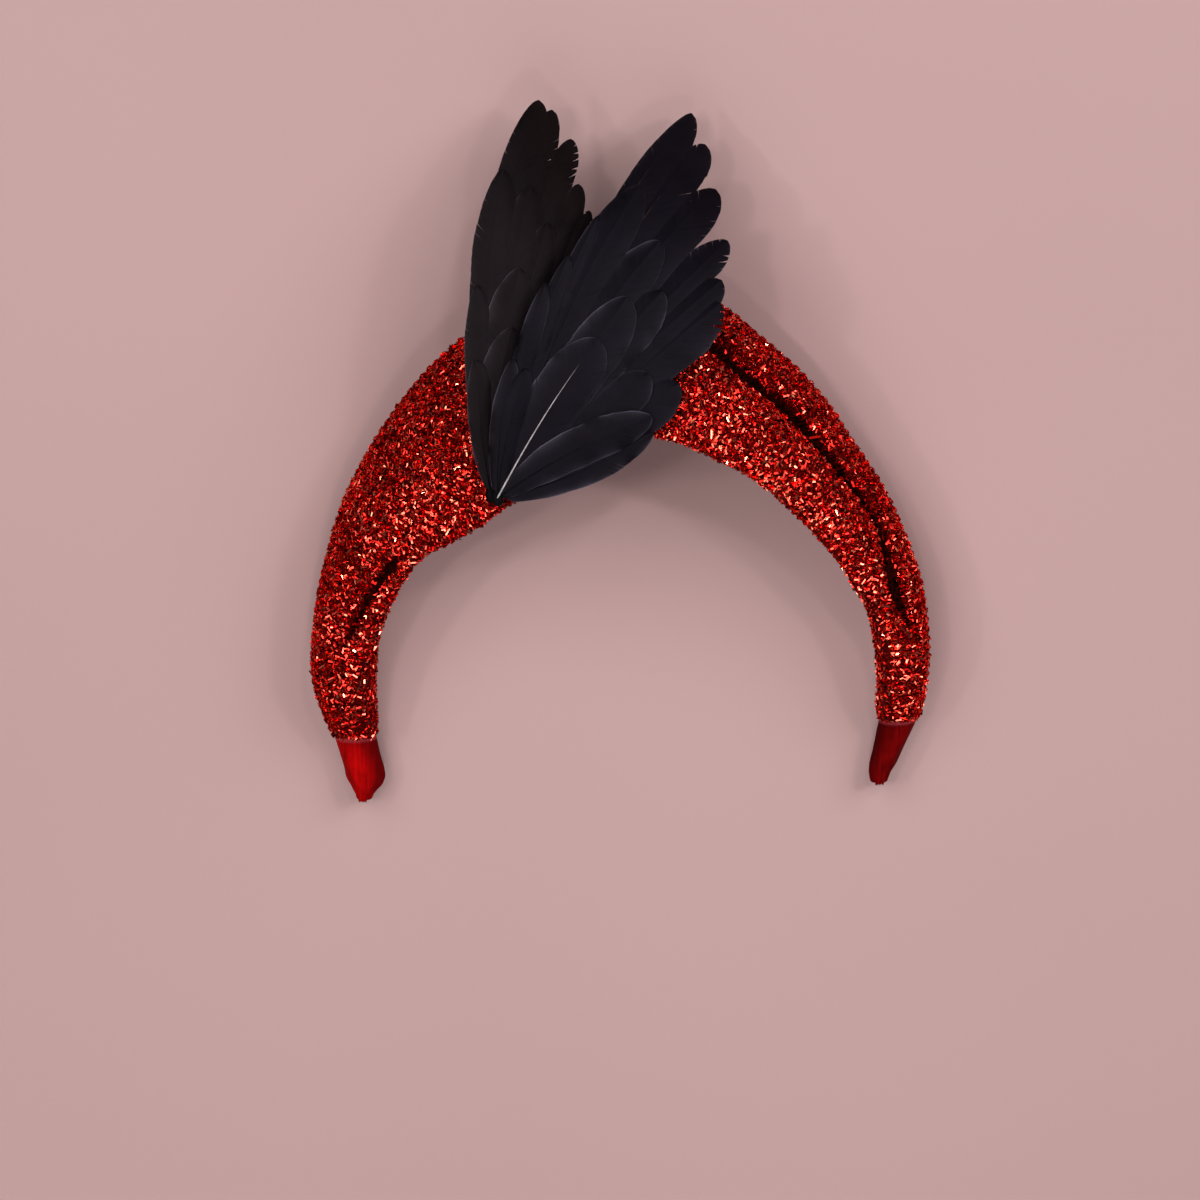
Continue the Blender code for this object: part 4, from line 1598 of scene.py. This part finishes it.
@dataclass
class Studio:
    """The pale floor, the soft lights and the camera, whose three turns are in degrees."""

    centre: tuple
    ambient: tuple = (0.95, 0.88, 0.87, 1)
    ambient_strength: float = 0.13
    floor_half: float = 3.0
    floor_drop: float = 0.0001
    camera_distance: float = 1.400
    camera_lens: float = 138.0
    tilt: float = 10.0
    yaw: float = 2.7
    roll: float = 1.2
    target_height: float = 0.015

    def area(self, name: str, place: tuple, size: float, watts: float, colour: tuple) -> None:
        """A round area light, turned to face the centre.

        Args:
            name: its name.
            place: where it hangs, from the centre.
            size: its diameter in metres.
            watts: its power.
            colour: its (r, g, b) colour.
        """
        light = bpy.data.lights.new(name, "AREA")
        light.shape = "DISK"
        light.size = size
        light.energy = watts
        light.color = colour
        lamp = bpy.data.objects.new(name, light)
        bpy.context.scene.collection.objects.link(lamp)
        lamp.location = Vector(self.centre) + Vector(place)
        lamp.rotation_euler = (-Vector(place)).to_track_quat("-Z", "Y").to_euler()

    def lights(self) -> None:
        """A large key from the upper left, a fill, one in front, and small ones for the glints."""
        self.area("key", (-0.50, 0.60, 1.20), 1.20, 13.1, (1.0, 0.98, 0.96))
        self.area("fill", (0.80, 0.55, 0.95), 0.90, 11.2, (1.0, 0.97, 0.98))
        self.area("front", (-0.20, -0.75, 0.90), 0.70, 4.8, (1.0, 0.98, 0.97))
        for number, place in enumerate(GLINT_PLACES):
            self.area(f"glint_{number + 1}", place, 0.09, 2.4, (1.0, 0.96, 0.94))
        world = bpy.data.worlds.new("studio")
        world.use_nodes = True
        background = world.node_tree.nodes["Background"]
        background.inputs["Color"].default_value = self.ambient
        background.inputs["Strength"].default_value = self.ambient_strength
        bpy.context.scene.world = world
        bpy.context.scene.view_settings.view_transform = "Standard"

    def floor(self) -> None:
        """A plain, pale, slightly pink floor with the faintest grain."""
        corners = np.array([[-1, -1, 0], [1, -1, 0], [1, 1, 0], [-1, 1, 0]]) * self.floor_half
        plane = build_mesh("floor", corners - np.array([0, 0, self.floor_drop]), [np.array([[0, 1, 2, 3]])])
        material, sheet, shader = new_material("pale_floor")
        noise = sheet.add("TexNoise", {"Vector": sheet.object_place(), "Scale": 3.0})
        colour = sheet.ramp(noise.outputs["Fac"], (0.3, (0.300, 0.193, 0.190)), (0.7, (0.316, 0.205, 0.202)))
        sheet.feed(shader, {"Base Color": colour, "Roughness": 0.9})
        plane.data.materials.append(material)

    def camera(self) -> None:
        """A long lens over the headband, looking down on its front, turned a little."""
        tilt, yaw = math.radians(self.tilt), math.radians(self.yaw)
        toward = Vector((math.sin(yaw) * math.cos(tilt), math.sin(tilt), math.cos(yaw) * math.cos(tilt)))
        right = Vector((0, 1, 0)).cross(toward).normalized()
        up = toward.cross(right)
        turn = math.radians(self.roll)
        turned_right = math.cos(turn) * right - math.sin(turn) * up
        turned_up = math.cos(turn) * up + math.sin(turn) * right
        camera = bpy.data.cameras.new("camera")
        camera.lens = self.camera_lens
        camera.sensor_width = 36.0
        camera.clip_end = 20.0
        view = bpy.data.objects.new("camera", camera)
        bpy.context.scene.collection.objects.link(view)
        frame_of_view = Matrix((turned_right, turned_up, toward)).transposed().to_4x4()
        target = Vector((self.centre[0], self.centre[1], self.target_height))
        view.matrix_world = Matrix.Translation(target + toward * self.camera_distance) @ frame_of_view
        bpy.context.scene.camera = view


# What the camera looks at, in metres from the middle of the line where the band's legs begin.
VIEW_CENTRE = (-0.0071, 0.0246, 0.0)


def main() -> None:
    """Build every piece in order, then the studio."""
    logging.basicConfig(level=logging.INFO, format="%(name)s: %(message)s")
    effects = Effects(mottle_group(), fibre_group())

    band = PaddedBand()
    band.shape()
    band.cloth(TinselGround().material(effects))
    TinselFlecks(band).build(TinselFleck().material())

    left_tip = VelvetTip("left_tip", LEFT_TIP_TABLE, end=0, length=0.0201, painted_shade_side=1.0, band=band)
    left_tip.build(BRIGHT_VELVET.material(effects))
    right_tip = VelvetTip("right_tip", RIGHT_TIP_TABLE, end=1, length=0.0200, painted_shade_side=-1.0, band=band)
    right_tip.build(DIM_VELVET.material(effects))

    shafts = {horn.kind: horn.material(effects) for horn in SHAFT_FINISHES}
    left_wing = FeatherWing("left_wing", LEFT_PLUMES, twist=38.0, camber=0.60, seed=21, knot_under=0.0013)
    left_wing.build(BROWN_BLACK.material(effects), shafts)
    right_wing = FeatherWing("right_wing", RIGHT_PLUMES, twist=10.0, camber=0.80, seed=42, knot_under=0.0058)
    right_wing.build(BLUE_BLACK.material(effects), shafts)

    studio = Studio(centre=tuple(band.place + np.array(VIEW_CENTRE)))
    studio.floor()
    studio.lights()
    studio.camera()


if __name__ == "__main__":
    main()
